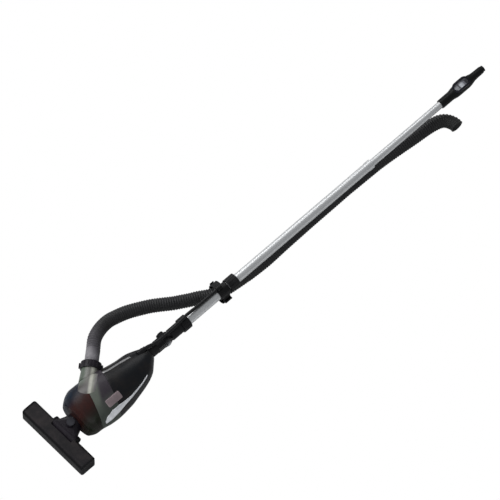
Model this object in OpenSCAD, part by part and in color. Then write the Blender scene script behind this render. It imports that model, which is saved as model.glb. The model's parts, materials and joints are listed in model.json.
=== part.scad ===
// Submersible pond vacuum on a telescopic pole, lying on its sole.
// Origin: centre of the nozzle's sole on the floor. +X runs along the pole to the handle,
// +Y is the hose's side, +Z is up.

/* [Nozzle] */
// Width of the floor nozzle, across the pole
nozzle_w = 230; // [180:1:300]
// Depth of the floor nozzle, along the pole
nozzle_d = 50; // [44:1:60]
// Height of the nozzle above the floor
nozzle_h = 40; // [38:1:50]
// Wall of the nozzle shell
nozzle_wall = 3; // [2:0.5:4]
// Radius of the nozzle's front corners seen from above
nozzle_front_r = 6; // [4:1:12]
// Radius of the nozzle's rear corners seen from above
nozzle_rear_r = 8; // [6:1:18]
// Radius of the nozzle's long top edges
nozzle_edge_r = 12; // [6:1:14]
// Thickness of the sole plate
sole_t = 4; // [3:0.5:6]
// Height of the sole's runners
runner_h = 2; // [1:0.5:4]
// Width of the suction slot, along the pole
slot_w = 16; // [10:1:18]
// Margin between the slot's ends and the nozzle's ends
slot_margin = 18; // [14:1:40]
// Width of the bridge across the middle of the suction slot
bridge_w = 8; // [6:1:14]
// Thickness of a rubber lip
lip_t = 3; // [2:0.5:4]
// Radius of the sole screws
sole_screw_r = 1.6; // [1:0.1:2]

/* [Neck] */
// Radius of the tilting barrel
barrel_r = 16; // [15:0.5:17]
// Length of the tilting barrel
barrel_len = 76; // [60:1:100]
// Distance from the barrel's axis to the nozzle's rear edge
tilt_inset = 3; // [0:0.5:4]
// Height of the barrel's axis above the floor
tilt_z = 24; // [23:0.5:27]
// Height of the head's inlet above the floor
inlet_z = 31; // [29:1:35]
// Distance from the barrel's axis to the neck's end face
neck_len = 36; // [32:1:50]
// Outer radius of the neck's round end
neck_r = 24; // [23:0.5:26]
// Wall of the neck
neck_wall = 3; // [2.5:0.5:4]
// Bore radius of the head's inlet socket
socket_r = 20; // [19:0.5:21]
// Length of the spigot in the socket
spigot_len = 24; // [20:1:28]
// Bore radius of the spigot
spigot_bore_r = 16; // [13:0.5:16.5]
// Thickness of an O-ring's cord
o_ring_t = 2.1; // [1.6:0.1:2.4]
// Radius of the tilt pins
tilt_pin_r = 3; // [2:0.5:4]
// Thickness of the nozzle's ears beside the barrel
ear_t = 5.5; // [4:0.5:8]
// Radius of the release button
button_r = 11; // [8:0.5:12]
// Height of the release button
button_h = 9; // [7:0.5:12]
// Travel of the release button
button_travel = 2.5; // [1:0.5:3]

/* [Head] */
// Length of the head, from its front face to the tip
head_len = 264; // [240:1:320]
// Width of the head at its widest
head_w = 140; // [136:1:146]
// Height of the head at its highest
head_h = 112; // [108:1:114]
// Height of the pole's axis above the floor
axis_z = 64; // [63:0.5:66]
// Wall of the head's shells
head_wall = 3; // [2:0.5:3.5]
// Position of the front chamber's split behind the head's front face
split_x = 56; // [52:1:60]
// Length of the pump housing's band
band_len = 62; // [58:1:66]
// Lean of the split from square, towards the outlet
split_lean = 18; // [10:0.5:20]
// Thickness of the trim strip and of the flash
trim_t = 1.2; // [0.8:0.1:2]
// Width of the trim strip
trim_w = 6; // [4:0.5:9]
// Height of the skid ribs' outer edge above the floor
skid_gap = 0; // [0:0.1:1]
// Length of the skid ribs
skid_len = 65; // [40:1:80]
// Distance of each skid rib from the pump's axis
skid_y = 22; // [16:1:28]
// Thickness of a skid rib
skid_t = 5; // [3:0.5:6]

/* [Pump and motor] */
// Sideways place of the pump's and motor's axis
pump_y = -7; // [-9:0.5:-5]
// Height of the pump's and motor's axis above the floor
pump_z = 58.5; // [57:0.5:60]
// Outer radius of the pump drum
drum_r = 44; // [43:0.5:46]
// Radius of the impeller chamber
chamber_r = 38; // [36:0.5:39]
// Depth of the impeller chamber
chamber_len = 24; // [20:1:24]
// Radius of the impeller
impeller_r = 35.5; // [28:0.5:36.5]
// Number of impeller vanes
vanes = 6; // [4:1:8]
// Radius of the eye in the eye plate
eye_r = 18; // [14:0.5:22]
// Thickness of the eye plate
eye_t = 4; // [3:0.5:5]
// Radius of the strainer cage
strainer_r = 29; // [24:0.5:31]
// Length of the strainer cage
strainer_len = 28; // [18:1:30]
// Number of bars in the strainer cage
strainer_bars = 18; // [12:1:24]
// Outer radius of the motor can
can_r = 35; // [33:0.5:36]
// Length of the motor can
can_len = 72; // [66:1:74]
// Wall of the motor can
can_wall = 2; // [1:0.5:3]
// Outer radius of the rotor
rotor_r = 20; // [16:0.5:22]
// Length of the rotor and the stator
stack_len = 46; // [40:1:50]
// Radius of the motor shaft
shaft_r = 4; // [3:0.5:5]
// Outer radius of a bearing
bearing_r = 11; // [9:0.5:13]
// Width of a bearing
bearing_w = 7; // [5:0.5:8]

/* [Outlet] */
// Place of the union nut's centre along the pole
nut_x = 185.5; // [184:0.5:188]
// Place of the union nut's centre across the pole
nut_y = 75.5; // [75:0.5:80]
// Direction of the outlet from the pole's axis
outlet_a = 40; // [38:1:44]
// Outer radius of the outlet pipe
outlet_r = 24.5; // [23.5:0.5:24.5]
// Radius of the outlet's flared foot
outlet_foot_r = 27; // [25:0.5:30]
// Bore radius of the outlet
outlet_bore_r = 16; // [12:0.5:17]
// Outer radius of the union nut
nut_r = 27.5; // [27.5:0.5:28.5]
// Length of the union nut
nut_len = 20; // [19:0.5:22]
// Outer radius over the nut's lugs
lug_r = 32; // [29.5:0.5:32.5]
// Thickness of the sealing washer
washer_t = 2; // [1:0.5:3]
// Thickness of the hose tail's flange
flange_t = 3.5; // [3:0.5:4.5]
// Length of the hose tail's barb
barb_len = 30; // [18:1:34]

/* [Hose] */
// Outer radius of the hose
hose_r = 19; // [18.5:0.1:19.2]
// Wall at the bottom of a rib groove
hose_wall = 1.5; // [1.2:0.1:1.8]
// Depth of a rib groove
rib_depth = 1.5; // [1:0.1:1.8]
// Pitch of the ribs
rib_pitch = 6.6; // [6.6:0.1:12]
// Length of the hose's plain cuff
cuff_len = 38; // [30:1:40]

/* [Coupling] */
// Radius of the head's stem
stem_r = 16; // [15:0.5:16]
// Distance from the head's tip to the tilt hinge
stem_len = 57; // [55:1:66]
// Radius of the hinge's ears
hinge_r = 17; // [16:0.5:17.5]
// Thickness of an ear
hinge_ear_t = 7; // [6:0.5:9]
// Thickness of the tongue
tongue_t = 12; // [10:0.5:14]
// Radius of the hinge bolt
bolt_r = 4; // [3:0.5:5]
// Radius of the hinge knob
knob_r = 11; // [10:0.5:13]
// Height of the hinge knob
knob_h = 8; // [7:0.5:10]
// Thickness of a hinge washer
hinge_washer_t = 1; // [0.5:0.1:2]
// Distance from the hinge to the tube socket's shoulder
arm_gap = 19; // [19:0.5:24]
// Radius of the tube socket
arm_r = 16.5; // [16.5:0.5:17.5]
// Length of the tube socket
arm_len = 37; // [34:1:50]
// Radius of the socket nut
socket_nut_r = 20; // [18.5:0.5:20.5]
// Length of the socket nut
socket_nut_len = 25; // [20:1:30]

/* [Pole] */
// Outer radius of the lower tube
lower_r = 14; // [13.8:0.1:14.1]
// Outer radius of the middle tube
middle_r = 12.5; // [12.3:0.1:12.5]
// Outer radius of the upper tube
upper_r = 9.7; // [9.4:0.1:9.9]
// Wall of the tubes
tube_wall = 1.2; // [1:0.1:1.3]
// Depth of the lower tube in its socket
tube_in = 23; // [16:1:24]
// Length of the lower tube
lower_len = 205; // [198:1:215]
// Length of the middle tube
middle_len = 650; // [600:1:700]
// Length of the middle tube inside the lower one
middle_in = 156; // [120:1:160]
// Length of the upper tube
upper_len = 445; // [430:1:460]
// Length of the upper tube inside the middle one
upper_in = 170; // [120:1:180]
// Radius of the lock collar
collar_r = 19.5; // [19:0.5:20.5]
// Length of the lock collar
collar_len = 30; // [28:1:42]
// Part of the collar that covers the lower tube
collar_over = 22; // [14:1:23]
// Length of a glide's flange
glide_len = 4; // [3:0.5:8]
// Length of a glide's plug
glide_plug = 12; // [8:1:16]
// Radius of the coiled lead inside the pole
coil_r = 5.5; // [4:0.5:6]

/* [Hose clip] */
// Length of the clip's ring along the pole
clip_len = 34; // [30:1:38]
// Length of the hose loop along the pole
loop_len = 22; // [20:1:28]
// Distance from the clip's end to the lower tube's end
clip_back = 24; // [22:1:30]
// Wall of the clip's ring round the tube
clip_ring_t = 3.5; // [3:0.5:4]
// Inner width of the hose loop
clip_gap_w = 53; // [50:1:56]
// Wall of the clip's jaw
jaw_t = 3.2; // [2.5:0.1:3.4]
// Radius of the jaw pin
jaw_pin_r = 1.6; // [1:0.1:2]
// Inner height of the hose loop
clip_gap_h = 42.3; // [41.5:0.1:43]
// Sideways place of the hose loop's middle
clip_y = 15.5; // [14:0.5:20]

/* [Handle] */
// Length of the handle
handle_len = 158; // [156:1:170]
// Depth of the upper tube in the handle
handle_in = 16; // [12:1:20]
// Wall of the handle's shells
handle_wall = 2.4; // [2:0.1:3]
// Place of the switch's centre behind the handle's front
switch_x = 77; // [75:1:79]
// Length of the switch bezel
bezel_len = 57; // [54:1:60]
// Width of the switch bezel
bezel_w = 30; // [28:1:31]
// Width of the bezel's rim
bezel_rim = 5.5; // [4.5:0.5:6.5]
// Swing of the rocker each way
rocker_swing = 7; // [4:1:8]
// Radius of the rocker's trunnions
trunnion_r = 1.5; // [1:0.1:2]
// Bore radius of the flex inlet
inlet_bore_r = 4; // [3:0.1:4.5]

/* [Power cable] */
// Radius of the power cable
cable_r = 4.5; // [3.5:0.1:4.6]

/* [Fits] */
// Gap between pieces that move on each other
run_gap = 0.3; // [0.2:0.05:0.5]
// Radial clearance of a running fit
fit_gap = 0.06; // [0.02:0.01:0.1]
// Gap between pieces that sit in each other
seat_gap = 0.2; // [0.1:0.05:0.3]

/* [Hidden] */
eps = 0.01;
big = 400;

// Places along the pole
tilt_x = nozzle_d / 2 - tilt_inset;
head_x = tilt_x + neck_len;
drum_x = head_x + split_x + 2;
chamber_x = drum_x + 6;
motor_x = head_x + split_x + band_len + 6;
tip_x = head_x + head_len;
hinge_x = tip_x + stem_len;
arm_x = hinge_x + arm_gap;
arm_end = arm_x + arm_len;
lower_x = arm_x + tube_in;
lower_end = lower_x + lower_len;
clip_x = lower_end - clip_back - clip_len;
loop_x = clip_x + clip_len - loop_len;
loop_end = loop_x + loop_len;
collar_x = lower_end - collar_over;
collar_end = collar_x + collar_len;
middle_x = lower_end - middle_in;
middle_end = middle_x + middle_len;
upper_x = middle_end - upper_in;
upper_end = upper_x + upper_len;
handle_x = upper_end - handle_in;
handle_end = handle_x + handle_len;

// Outline of the head: share of its length, then centre and half width over the head's width,
// centre below the axis and half height over the head's height
head_rings = [[0, -0.039, 0.372, 0.143, 0.366], [0.03, -0.04, 0.419, 0.107, 0.402],
    [0.076, -0.032, 0.461, 0.08, 0.4375], [0.129, -0.021, 0.48, 0.0625, 0.469],
    [0.182, -0.032, 0.488, 0.054, 0.487], [0.242, -0.047, 0.497, 0.049, 0.5],
    [0.318, -0.057, 0.5, 0.049, 0.5], [0.402, -0.066, 0.487, 0.049, 0.496],
    [0.47, -0.074, 0.466, 0.049, 0.487], [0.545, -0.085, 0.438, 0.049, 0.469],
    [0.659, -0.084, 0.393, 0.04, 0.424], [0.799, -0.065, 0.345, 0.027, 0.348],
    [0.886, -0.055, 0.283, 0.013, 0.281], [0.951, -0.03, 0.204, 0.004, 0.223],
    [1, -0.008, 0.139, 0, 0.174]];
ring_n = 24;
oval_power = 2.2;

// Handle's outline: share of its length from its front, then outer radius
handle_shape = [[0, 12.2], [0.025, 12.9], [0.253, 13], [0.316, 15.2], [0.367, 16], [0.608, 16],
    [0.671, 14.5], [0.747, 11.5], [0.823, 10.6], [0.937, 10.3], [0.975, 9.4]];
handle_outline = [for (p = handle_shape) [p[0] * handle_len, p[1]]];

// Route of the hose: from the outlet round the loop to the clip, then under the pole
hose_s = nut_len / 2 + 1.5;
hose_start = [nut_x + hose_s * cos(outlet_a), nut_y + hose_s * sin(outlet_a), axis_z];
hose_step = [cos(outlet_a), sin(outlet_a), 0];
loop_route = concat([hose_start, hose_start + cuff_len / 2 * hose_step, hose_start + cuff_len * hose_step],
    [[246, 127, 63], [266, 137, 60], [290, 144.5, 53], [316, 148, 45], [342, 145.5, 37],
    [368, 140, 31], [390, 132, 27], [410, 123, 24], [430, 113, 22], [448, 101.5, 21],
    [465, 89.5, 20.5], [482, 77.5, 20], [500, 66.5, 20], [519, 55, 20], [539, 43.5, 21],
    [556, 32, 22], [570, 23.5, 22.8], [586, 17.5, 23], [600, 14.5, 23], [614, 12, 23],
    [632, 9.5, 23], [650, 7.5, 23]]);
run_route = [[650.3, 7.5, 23], [669, 5.5, 23], [688, 4, 22.2], [730, 2.5, 20.8], [760, 3, 19.5],
    [794, 4.5, 19], [834, 5.5, 19], [874, 6.3, 19], [914, 7, 19], [994, 7.5, 19],
    [1034, 8, 19], [1074, 7.2, 19], [1114, 6.5, 19], [1154, 5.5, 19], [1194, 2.5, 19],
    [1234, -1.5, 19], [1274, -6, 19], [1314, -9.5, 19], [1340, -13.5, 19], [1360, -19.5, 19],
    [1373, -29.5, 19], [1380.5, -42, 19], [1383, -52, 19], [1383, -61, 19]];
hose_sides = 8;

// Route of the power cable: over the coupling and along the lower tube into the clip
cable_route = [[312, 9.5, 88], [325, 8.3, 88], [338, 4.5, 88], [352, 1.8, 88], [379, 1, 87.6],
    [410, 1, 88], [428, 1.5, 89.3], [447, 3, 89.6], [464, 4.4, 89.2], [480, 5, 86.5], [498, 5, 84],
    [516, 5, 83.2], [546, 5, 83.2], [clip_x + 3, 5, 83.2]];
cable_sides = 8;

// ---------- helpers ----------

// Rod along X from x0 to x1
module rod_x(x0, x1, r, y = 0, z = axis_z) {
    translate([x0, y, z]) rotate([0, 90, 0]) cylinder(r = r, h = x1 - x0, $fn = 64);
}

// Tube along X
module pipe_x(x0, x1, r, bore, y = 0, z = axis_z) {
    difference() {
        rod_x(x0, x1, r, y, z);
        rod_x(x0 - 1, x1 + 1, bore, y, z);
    }
}

// Rod along Y from y0 to y1
module rod_y(y0, y1, r, x, z) {
    translate([x, y0, z]) rotate([-90, 0, 0]) cylinder(r = r, h = y1 - y0, $fn = 64);
}

// Rod along Z from z0 to z1
module rod_z(z0, z1, r, x, y) {
    translate([x, y, z0]) cylinder(r = r, h = z1 - z0, $fn = 48);
}

// Box given by its two corners
module block(a, b) {
    translate(a) cube(b - a);
}

// Rectangle with round corners, centred; the corners on the right can differ
module round_rect(w, h, r, r_right = undef) {
    rr = r_right == undef ? r : r_right;
    translate([(r - rr) / 2, 0]) square([w - r - rr, h], center = true);
    translate([r / 2 - w / 2, 0]) square([r, h - 2 * r], center = true);
    translate([w / 2 - rr / 2, 0]) square([rr, h - 2 * rr], center = true);
    for (sy = [-1, 1]) {
        translate([r - w / 2, sy * (h / 2 - r)]) circle(r = r, $fn = 48);
        translate([w / 2 - rr, sy * (h / 2 - rr)]) circle(r = rr, $fn = 48);
    }
}

// Slot shape with round ends along X, centred
module stadium(len, w) {
    square([len - w, w], center = true);
    for (s = [-1, 1]) translate([s * (len - w) / 2, 0]) circle(r = w / 2, $fn = 48);
}

function signed_power(v, p) = sign(v) * pow(abs(v), p);

// One ring of the head's outline, grown outwards by g
function head_ring(p, g) = let (w = head_w * p[2] + g, h = head_h * p[4] + g, e = 2 / oval_power)
    [for (i = [0:ring_n - 1]) let (t = 360 * i / ring_n)
        [head_x + p[0] * head_len, head_w * p[1] + w * signed_power(cos(t), e),
        axis_z - head_h * p[3] + h * signed_power(sin(t), e)]];

// Two triangles between two neighbouring rings, at corner i
function band_faces(a, i, n) = let (b = i + 1 == n ? a - i : a + 1)
    [[a, a + n, b], [b, a + n, b + n]];

// Solid through the head's rings, grown outwards by g
module head_form(g = 0) {
    m = len(head_rings);
    points = [for (p = head_rings) each head_ring(p, g)];
    sides = [for (k = [0:m - 2], i = [0:ring_n - 1]) each band_faces(k * ring_n + i, i, ring_n)];
    front = [for (i = [0:ring_n - 1]) i];
    back = [for (i = [ring_n - 1:-1:0]) (m - 1) * ring_n + i];
    polyhedron(points, concat([front], sides, [back]));
}

// Everything behind the leaning plane that crosses the pole's axis at x
module behind_plane(x) {
    translate([x, 0, 0]) rotate([0, 0, -split_lean]) block([0, -big, -big], [2 * big, big, big]);
}

// Everything in front of that plane
module before_plane(x) {
    translate([x, 0, 0]) rotate([0, 0, -split_lean]) block([-2 * big, -big, -big], [0, big, big]);
}

// Places its children on the outlet's axis, +X along the flow, origin at the nut's centre
module at_outlet() {
    translate([nut_x, nut_y, axis_z]) rotate([0, 0, outlet_a]) children();
}

// Rod along the outlet
module outlet_rod(s0, s1, r, r_end = undef) {
    top = r_end == undef ? r : r_end;
    translate([s0, 0, 0]) rotate([0, 90, 0]) cylinder(r1 = r, r2 = top, h = s1 - s0, $fn = 64);
}

// ---------- swept tubes ----------

// Catmull-Rom point between b and c
function spline(a, b, c, d, t) = 0.5 * (2 * b + t * (c - a) + t * t * (2 * a - 5 * b + 4 * c - d)
    + t * t * t * (3 * b - a - 3 * c + d));

// Fine points along a route
function fine_route(p, k = 6) = let (m = len(p))
    [for (i = [0:m - 2], j = [0:k - 1]) spline(p[max(i - 1, 0)], p[i], p[i + 1],
        p[min(i + 2, m - 1)], j / k), p[m - 1]];

// Running length at each point
function running(p, i = 1, sum = [0]) = i == len(p) ? sum
    : running(p, i + 1, concat(sum, [sum[i - 1] + norm(p[i] - p[i - 1])]));

// Point at length s, by tables of x, y and z over the length
function at_length(tables, s) = [for (t = tables) lookup(s, t)];

function unit(v) = v / norm(v);

// Ring of radius r square to the route at length s
function tube_ring(tables, s, total, r, sides) = let (
    c = at_length(tables, s),
    ahead = at_length(tables, min(s + 2, total)),
    behind = at_length(tables, max(s - 2, 0)),
    dir = unit(ahead - behind),
    side = unit(cross([0, 0, 1], dir)),
    up = cross(dir, side))
    [for (i = [0:sides - 1]) c + r * cos(360 * i / sides) * side + r * sin(360 * i / sides) * up];

// Triangles that join rings first to first + count - 1; turned inside out for a bore
function tube_faces(first, count, n, inner) = [for (k = [0:count - 2], i = [0:n - 1])
    each [for (f = band_faces((first + k) * n + i, i, n)) inner ? [f[0], f[2], f[1]] : f]];

// Ring-shaped end face between outer ring a and inner ring b
function end_faces(a, b, n, flip) = [for (i = [0:n - 1]) let (j = (i + 1) % n)
    each [for (f = [[a * n + i, a * n + j, b * n + i], [b * n + i, a * n + j, b * n + j]])
        flip ? [f[0], f[2], f[1]] : f]];

function tables_of(route) = let (p = fine_route(route), s = running(p))
    [for (axis = [0:2]) [for (i = [0:len(p) - 1]) [s[i], p[i][axis]]]];

function length_of(tables) = tables[0][len(tables[0]) - 1][0];

// Ribbed tube with a bore along a route; plain_len at its start has no ribs
module ribbed_tube(route, plain_len = 0) {
    tables = tables_of(route);
    total = length_of(tables);
    ribs = floor((total - plain_len) / rib_pitch);
    pitch = (total - plain_len) / ribs;
    plain = plain_len > 0 ? [[0, hose_r], [plain_len / 2, hose_r]] : [];
    crests = [for (k = [0:ribs - 1]) each [[plain_len + k * pitch, hose_r],
        [plain_len + (k + 0.5) * pitch, hose_r - rib_depth]]];
    outer = concat(plain, crests, [[total, hose_r]]);
    bores = ceil(total / (2 * rib_pitch));
    bore_r = hose_r - rib_depth - hose_wall;
    n = hose_sides;
    points = concat([for (o = outer) each tube_ring(tables, o[0], total, o[1], n)],
        [for (k = [0:bores]) each tube_ring(tables, k * total / bores, total, bore_r, n)]);
    m = len(outer);
    faces = concat(tube_faces(0, m, n, false), tube_faces(m, bores + 1, n, true),
        end_faces(0, m, n, false), end_faces(m - 1, m + bores, n, true));
    polyhedron(points, faces);
}

// Plain tube along a route
module plain_tube(route, r, sides, step) {
    tables = tables_of(route);
    total = length_of(tables);
    rings = ceil(total / step);
    points = [for (k = [0:rings]) each tube_ring(tables, k * total / rings, total, r, sides)];
    front = [for (i = [0:sides - 1]) i];
    back = [for (i = [sides - 1:-1:0]) rings * sides + i];
    polyhedron(points, concat([front], tube_faces(0, rings + 1, sides, false), [back]));
}

// ---------- nozzle ----------

sole_top = runner_h + sole_t;
ear_y = barrel_len / 2 + run_gap;
slot_x = 15 - nozzle_d / 2;
bridge_runner_x = slot_x + 8;
slot_len = nozzle_w - 2 * slot_margin;
screw_x = nozzle_d / 2 - 9;
screw_y = nozzle_w / 2 - 10;
lip_x = nozzle_d / 2 - 3;

// Rounded block of the nozzle, smaller by g on every side but the bottom
module nozzle_block(g, z0) {
    intersection() {
        translate([0, 0, z0]) linear_extrude(nozzle_h - g - z0)
            round_rect(nozzle_d - 2 * g, nozzle_w - 2 * g, nozzle_front_r - g, nozzle_rear_r - g);
        rotate([90, 0, 0]) linear_extrude(nozzle_w, center = true) union() {
            translate([0, (nozzle_h - g - nozzle_edge_r) / 2])
                square([nozzle_d - 2 * g, nozzle_h - g - nozzle_edge_r], center = true);
            translate([0, (nozzle_h - g) / 2])
                square([nozzle_d - 2 * g - 2 * nozzle_edge_r, nozzle_h - g], center = true);
            for (s = [-1, 1])
                translate([s * (nozzle_d / 2 - g - nozzle_edge_r), nozzle_h - g - nozzle_edge_r])
                    circle(r = nozzle_edge_r, $fn = 48);
        }
    }
}

module nozzle_shell() color("#26262b") difference() {
    union() {
        difference() {
            nozzle_block(0, sole_top);
            nozzle_block(nozzle_wall, sole_top - 1);
        }
        for (s = [-1, 1]) intersection() {
            rod_y(min(s * ear_y, s * (ear_y + ear_t)), max(s * ear_y, s * (ear_y + ear_t)), barrel_r,
                tilt_x, tilt_z);
            block([-big, -big, sole_top], [big, big, big]);
        }
        for (sx = [-1, 1], sy = [-1, 1])
            rod_z(sole_top, nozzle_h - nozzle_wall - 4, 4, sx * screw_x, sy * screw_y);
    }
    rod_y(-ear_y, ear_y, barrel_r + run_gap * 2, tilt_x, tilt_z);
    block([tilt_x - barrel_r * 0.9, -ear_y, tilt_z], [big, ear_y, big]);
    block([tilt_x, -ear_y, -1], [big, ear_y, big]);
    rod_y(-big, big, tilt_pin_r + fit_gap, tilt_x, tilt_z);
    for (sx = [-1, 1], sy = [-1, 1])
        rod_z(sole_top - 1, sole_top + 12, sole_screw_r + fit_gap, sx * screw_x, sy * screw_y);
}

module sole_plate() color("#1b1b1f") difference() {
    union() {
        translate([0, 0, runner_h]) linear_extrude(sole_t)
            round_rect(nozzle_d, nozzle_w, nozzle_front_r, nozzle_rear_r);
        translate([bridge_runner_x, 0, 0]) linear_extrude(runner_h + 1) stadium(30, bridge_w - 2);
        for (sy = [-1, 1]) {
            translate([9, sy * nozzle_w / 4, 0]) linear_extrude(runner_h + 1) stadium(10, 4);
            translate([0, sy * (nozzle_w / 2 - 7), 0]) linear_extrude(runner_h + 1) stadium(12, 4);
        }
    }
    for (s = [-1, 1]) translate([slot_x, s * (slot_len + bridge_w) / 4, -1])
        linear_extrude(sole_top + 2) round_rect(slot_w, (slot_len - bridge_w) / 2, 5);
    block([tilt_x - barrel_r - 1, -ear_y, tilt_z - barrel_r - 3], [big, ear_y, big]);
    for (s = [-1, 1]) lip_slot(s, seat_gap, 1);
    for (sx = [-1, 1], sy = [-1, 1]) {
        rod_z(-1, sole_top + 1, sole_screw_r + fit_gap, sx * screw_x, sy * screw_y);
        rod_z(-1, runner_h + 1.5, sole_screw_r * 2 + seat_gap, sx * screw_x, sy * screw_y);
    }
}

// Space of a lip: front is s = -1, rear is s = 1, where two short lips pass the barrel
module lip_slot(s, g, more) {
    y0 = s < 0 ? 0 : ear_y + ear_t + 2;
    y1 = nozzle_w / 2 - 26;
    for (m = s < 0 ? [0] : [-1, 1]) {
        from = s < 0 ? -y1 : min(m * y0, m * y1);
        to = s < 0 ? y1 : max(m * y0, m * y1);
        block([s * lip_x - (s > 0 ? lip_t : 0) - g, from - g, -more],
            [s * lip_x + (s < 0 ? lip_t : 0) + g, to + g, sole_top + more]);
    }
}

module lip_strips() color("#101012") for (s = [-1, 1]) lip_slot(s, 0, 0);

module sole_screws() color("#a8abb0") for (sx = [-1, 1], sy = [-1, 1]) {
    rod_z(runner_h + 1.5, sole_top + 11, sole_screw_r, sx * screw_x, sy * screw_y);
    difference() {
        rod_z(0.5, runner_h + 1.5, sole_screw_r * 2, sx * screw_x, sy * screw_y);
        translate([sx * screw_x, sy * screw_y, 0]) linear_extrude(1.2)
            square([4, 0.8], center = true);
        translate([sx * screw_x, sy * screw_y, 0]) linear_extrude(1.2)
            square([0.8, 4], center = true);
    }
}

module tilt_pins() color("#9fa2a6") for (s = [-1, 1])
    rod_y(s > 0 ? ear_y - 6 : -ear_y - ear_t, s > 0 ? ear_y + ear_t : -ear_y + 6,
        tilt_pin_r, tilt_x, tilt_z);

// ---------- neck ----------

neck_end = tilt_x + neck_len;
spigot_r = socket_r - fit_gap;
button_x = tilt_x + 21;
button_z = inlet_z + 22;
button_floor = button_z - 10;
duct_y = barrel_len / 2 - 3;

// Duct between the barrel and the round end, smaller by g
module duct_form(g, r, depth) {
    hull() {
        block([tilt_x + g / 2, -duct_y + g, tilt_z - barrel_r + 2 + g],
            [tilt_x + 4, duct_y - g, tilt_z + barrel_r - 2 - g]);
        translate([neck_end - 4, 0, inlet_z]) rotate([0, 90, 0])
            cylinder(r = r, h = depth, $fn = 32);
    }
}

module neck_duct() color("#2c2b31") difference() {
    union() {
        rod_y(-barrel_len / 2, barrel_len / 2, barrel_r, tilt_x, tilt_z);
        duct_form(0, neck_r, 4 - run_gap);
        rod_x(neck_end - 4, neck_end + spigot_len, spigot_r, 0, inlet_z);
        rod_z(inlet_z + 8, button_z, button_r + 2, button_x, 0);
    }
    difference() {
        union() {
            rod_y(-barrel_len / 2 + neck_wall, barrel_len / 2 - neck_wall,
                barrel_r - neck_wall, tilt_x, tilt_z);
            duct_form(4, spigot_bore_r, 4);
        }
        rod_z(button_floor - 2, button_z, button_r + 2, button_x, 0);
    }
    rod_x(neck_end - 5, neck_end + spigot_len + 1, spigot_bore_r, 0, inlet_z);
    block([tilt_x - barrel_r - 1, -barrel_len / 2 + 8, tilt_z - 10],
        [tilt_x - 4, barrel_len / 2 - 8, tilt_z + 10]);
    rod_z(button_floor, button_z + 30, button_r + run_gap, button_x, 0);
    for (s = [-1, 1]) rod_y(s * barrel_len / 2 - 7, s * barrel_len / 2 + 7, tilt_pin_r + fit_gap,
        tilt_x, tilt_z);
    for (x = [8, 16]) pipe_x(neck_end + x, neck_end + x + o_ring_t + seat_gap, spigot_r + 1,
        spigot_r - o_ring_t, 0, inlet_z);
}

module neck_o_rings() color("#141414") for (x = [8, 16])
    translate([neck_end + x + seat_gap / 2 + o_ring_t / 2, 0, inlet_z]) rotate([0, 90, 0])
        rotate_extrude($fn = 64) translate([spigot_r - o_ring_t / 2, 0])
            circle(r = o_ring_t / 2 - fit_gap / 2, $fn = 24);

button_bottom = button_z + button_travel + 0.5 - button_h;

module release_button() color("#3a3a40") rod_z(button_bottom, button_bottom + button_h, button_r,
    button_x, 0);

module button_spring() color("#b9bcc0") difference() {
    rod_z(button_floor, button_bottom, button_r * 0.6, button_x, 0);
    rod_z(button_floor - 1, button_bottom + 1, button_r * 0.45, button_x, 0);
}

// ---------- head ----------

band_x = head_x + split_x;
rear_x = band_x + band_len;

module front_chamber() color([0.09, 0.07, 0.08, 0.85]) difference() {
    union() {
        intersection() {
            difference() {
                head_form();
                intersection() {
                    head_form(-head_wall);
                    block([head_x + head_wall, -big, -big], [big, big, big]);
                }
            }
            before_plane(band_x);
        }
        rod_x(head_x, head_x + spigot_len + 3, socket_r + head_wall, 0, inlet_z);
    }
    rod_x(head_x - 1, head_x + spigot_len + 4, socket_r, 0, inlet_z);
}

// Rod and tube along the pump's axis
module pump_rod(x0, x1, r) {
    rod_x(x0, x1, r, pump_y, pump_z);
}

module pump_pipe(x0, x1, r, bore) {
    pipe_x(x0, x1, r, bore, pump_y, pump_z);
}

// Envelope of the outlet pipe, grown by g
module outlet_outside(g) {
    at_outlet() {
        outlet_rod(-52, -16, outlet_foot_r + g, outlet_r + g);
        outlet_rod(-16 - eps, 2, outlet_r + g);
    }
}

recess_s = -nut_len / 2 - run_gap * 2;

// Wall of the recess that the union nut turns in, inside the head's outline
module nut_cup() {
    intersection() {
        head_form(-head_wall / 2);
        at_outlet() outlet_rod(recess_s - head_wall, 40, lug_r + head_wall + 1);
    }
}

// Space that the union nut turns in
module nut_room() {
    at_outlet() outlet_rod(recess_s, 60, lug_r + run_gap * 2);
}

module pump_housing() color("#66666a") difference() {
    union() {
        difference() {
            intersection() {
                union() {
                    difference() {
                        head_form();
                        head_form(-head_wall);
                    }
                    nut_cup();
                }
                behind_plane(band_x + run_gap);
                before_plane(rear_x);
            }
            nut_room();
        }
        pump_rod(drum_x, chamber_x + chamber_len + 4, drum_r);
        pump_rod(chamber_x + chamber_len + 3, motor_x, can_r + 1);
        intersection() {
            pump_rod(drum_x + 12, motor_x, big / 4);
            head_form(-head_wall + 0.5);
            behind_plane(rear_x - 9);
            before_plane(rear_x - 0.5);
        }
        intersection() {
            difference() {
                outlet_outside(0);
                pump_rod(drum_x - 40, motor_x + 60, chamber_r + 1);
            }
            behind_plane(band_x + run_gap);
        }
    }
    pump_rod(drum_x - 1, chamber_x + eye_t / 2, chamber_r + 2 + seat_gap);
    pump_rod(chamber_x, chamber_x + chamber_len, chamber_r);
    pump_rod(chamber_x + chamber_len - 1, motor_x + 1, shaft_r + 1);
    pump_rod(motor_x - 12, motor_x + 1, bearing_r + 2 + seat_gap);
    at_outlet() outlet_rod(-70, 3, outlet_bore_r);
}

module eye_plate() color("#3d3d42") pump_pipe(chamber_x - eye_t / 2, chamber_x + eye_t / 2,
    chamber_r + 2, eye_r);

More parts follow.
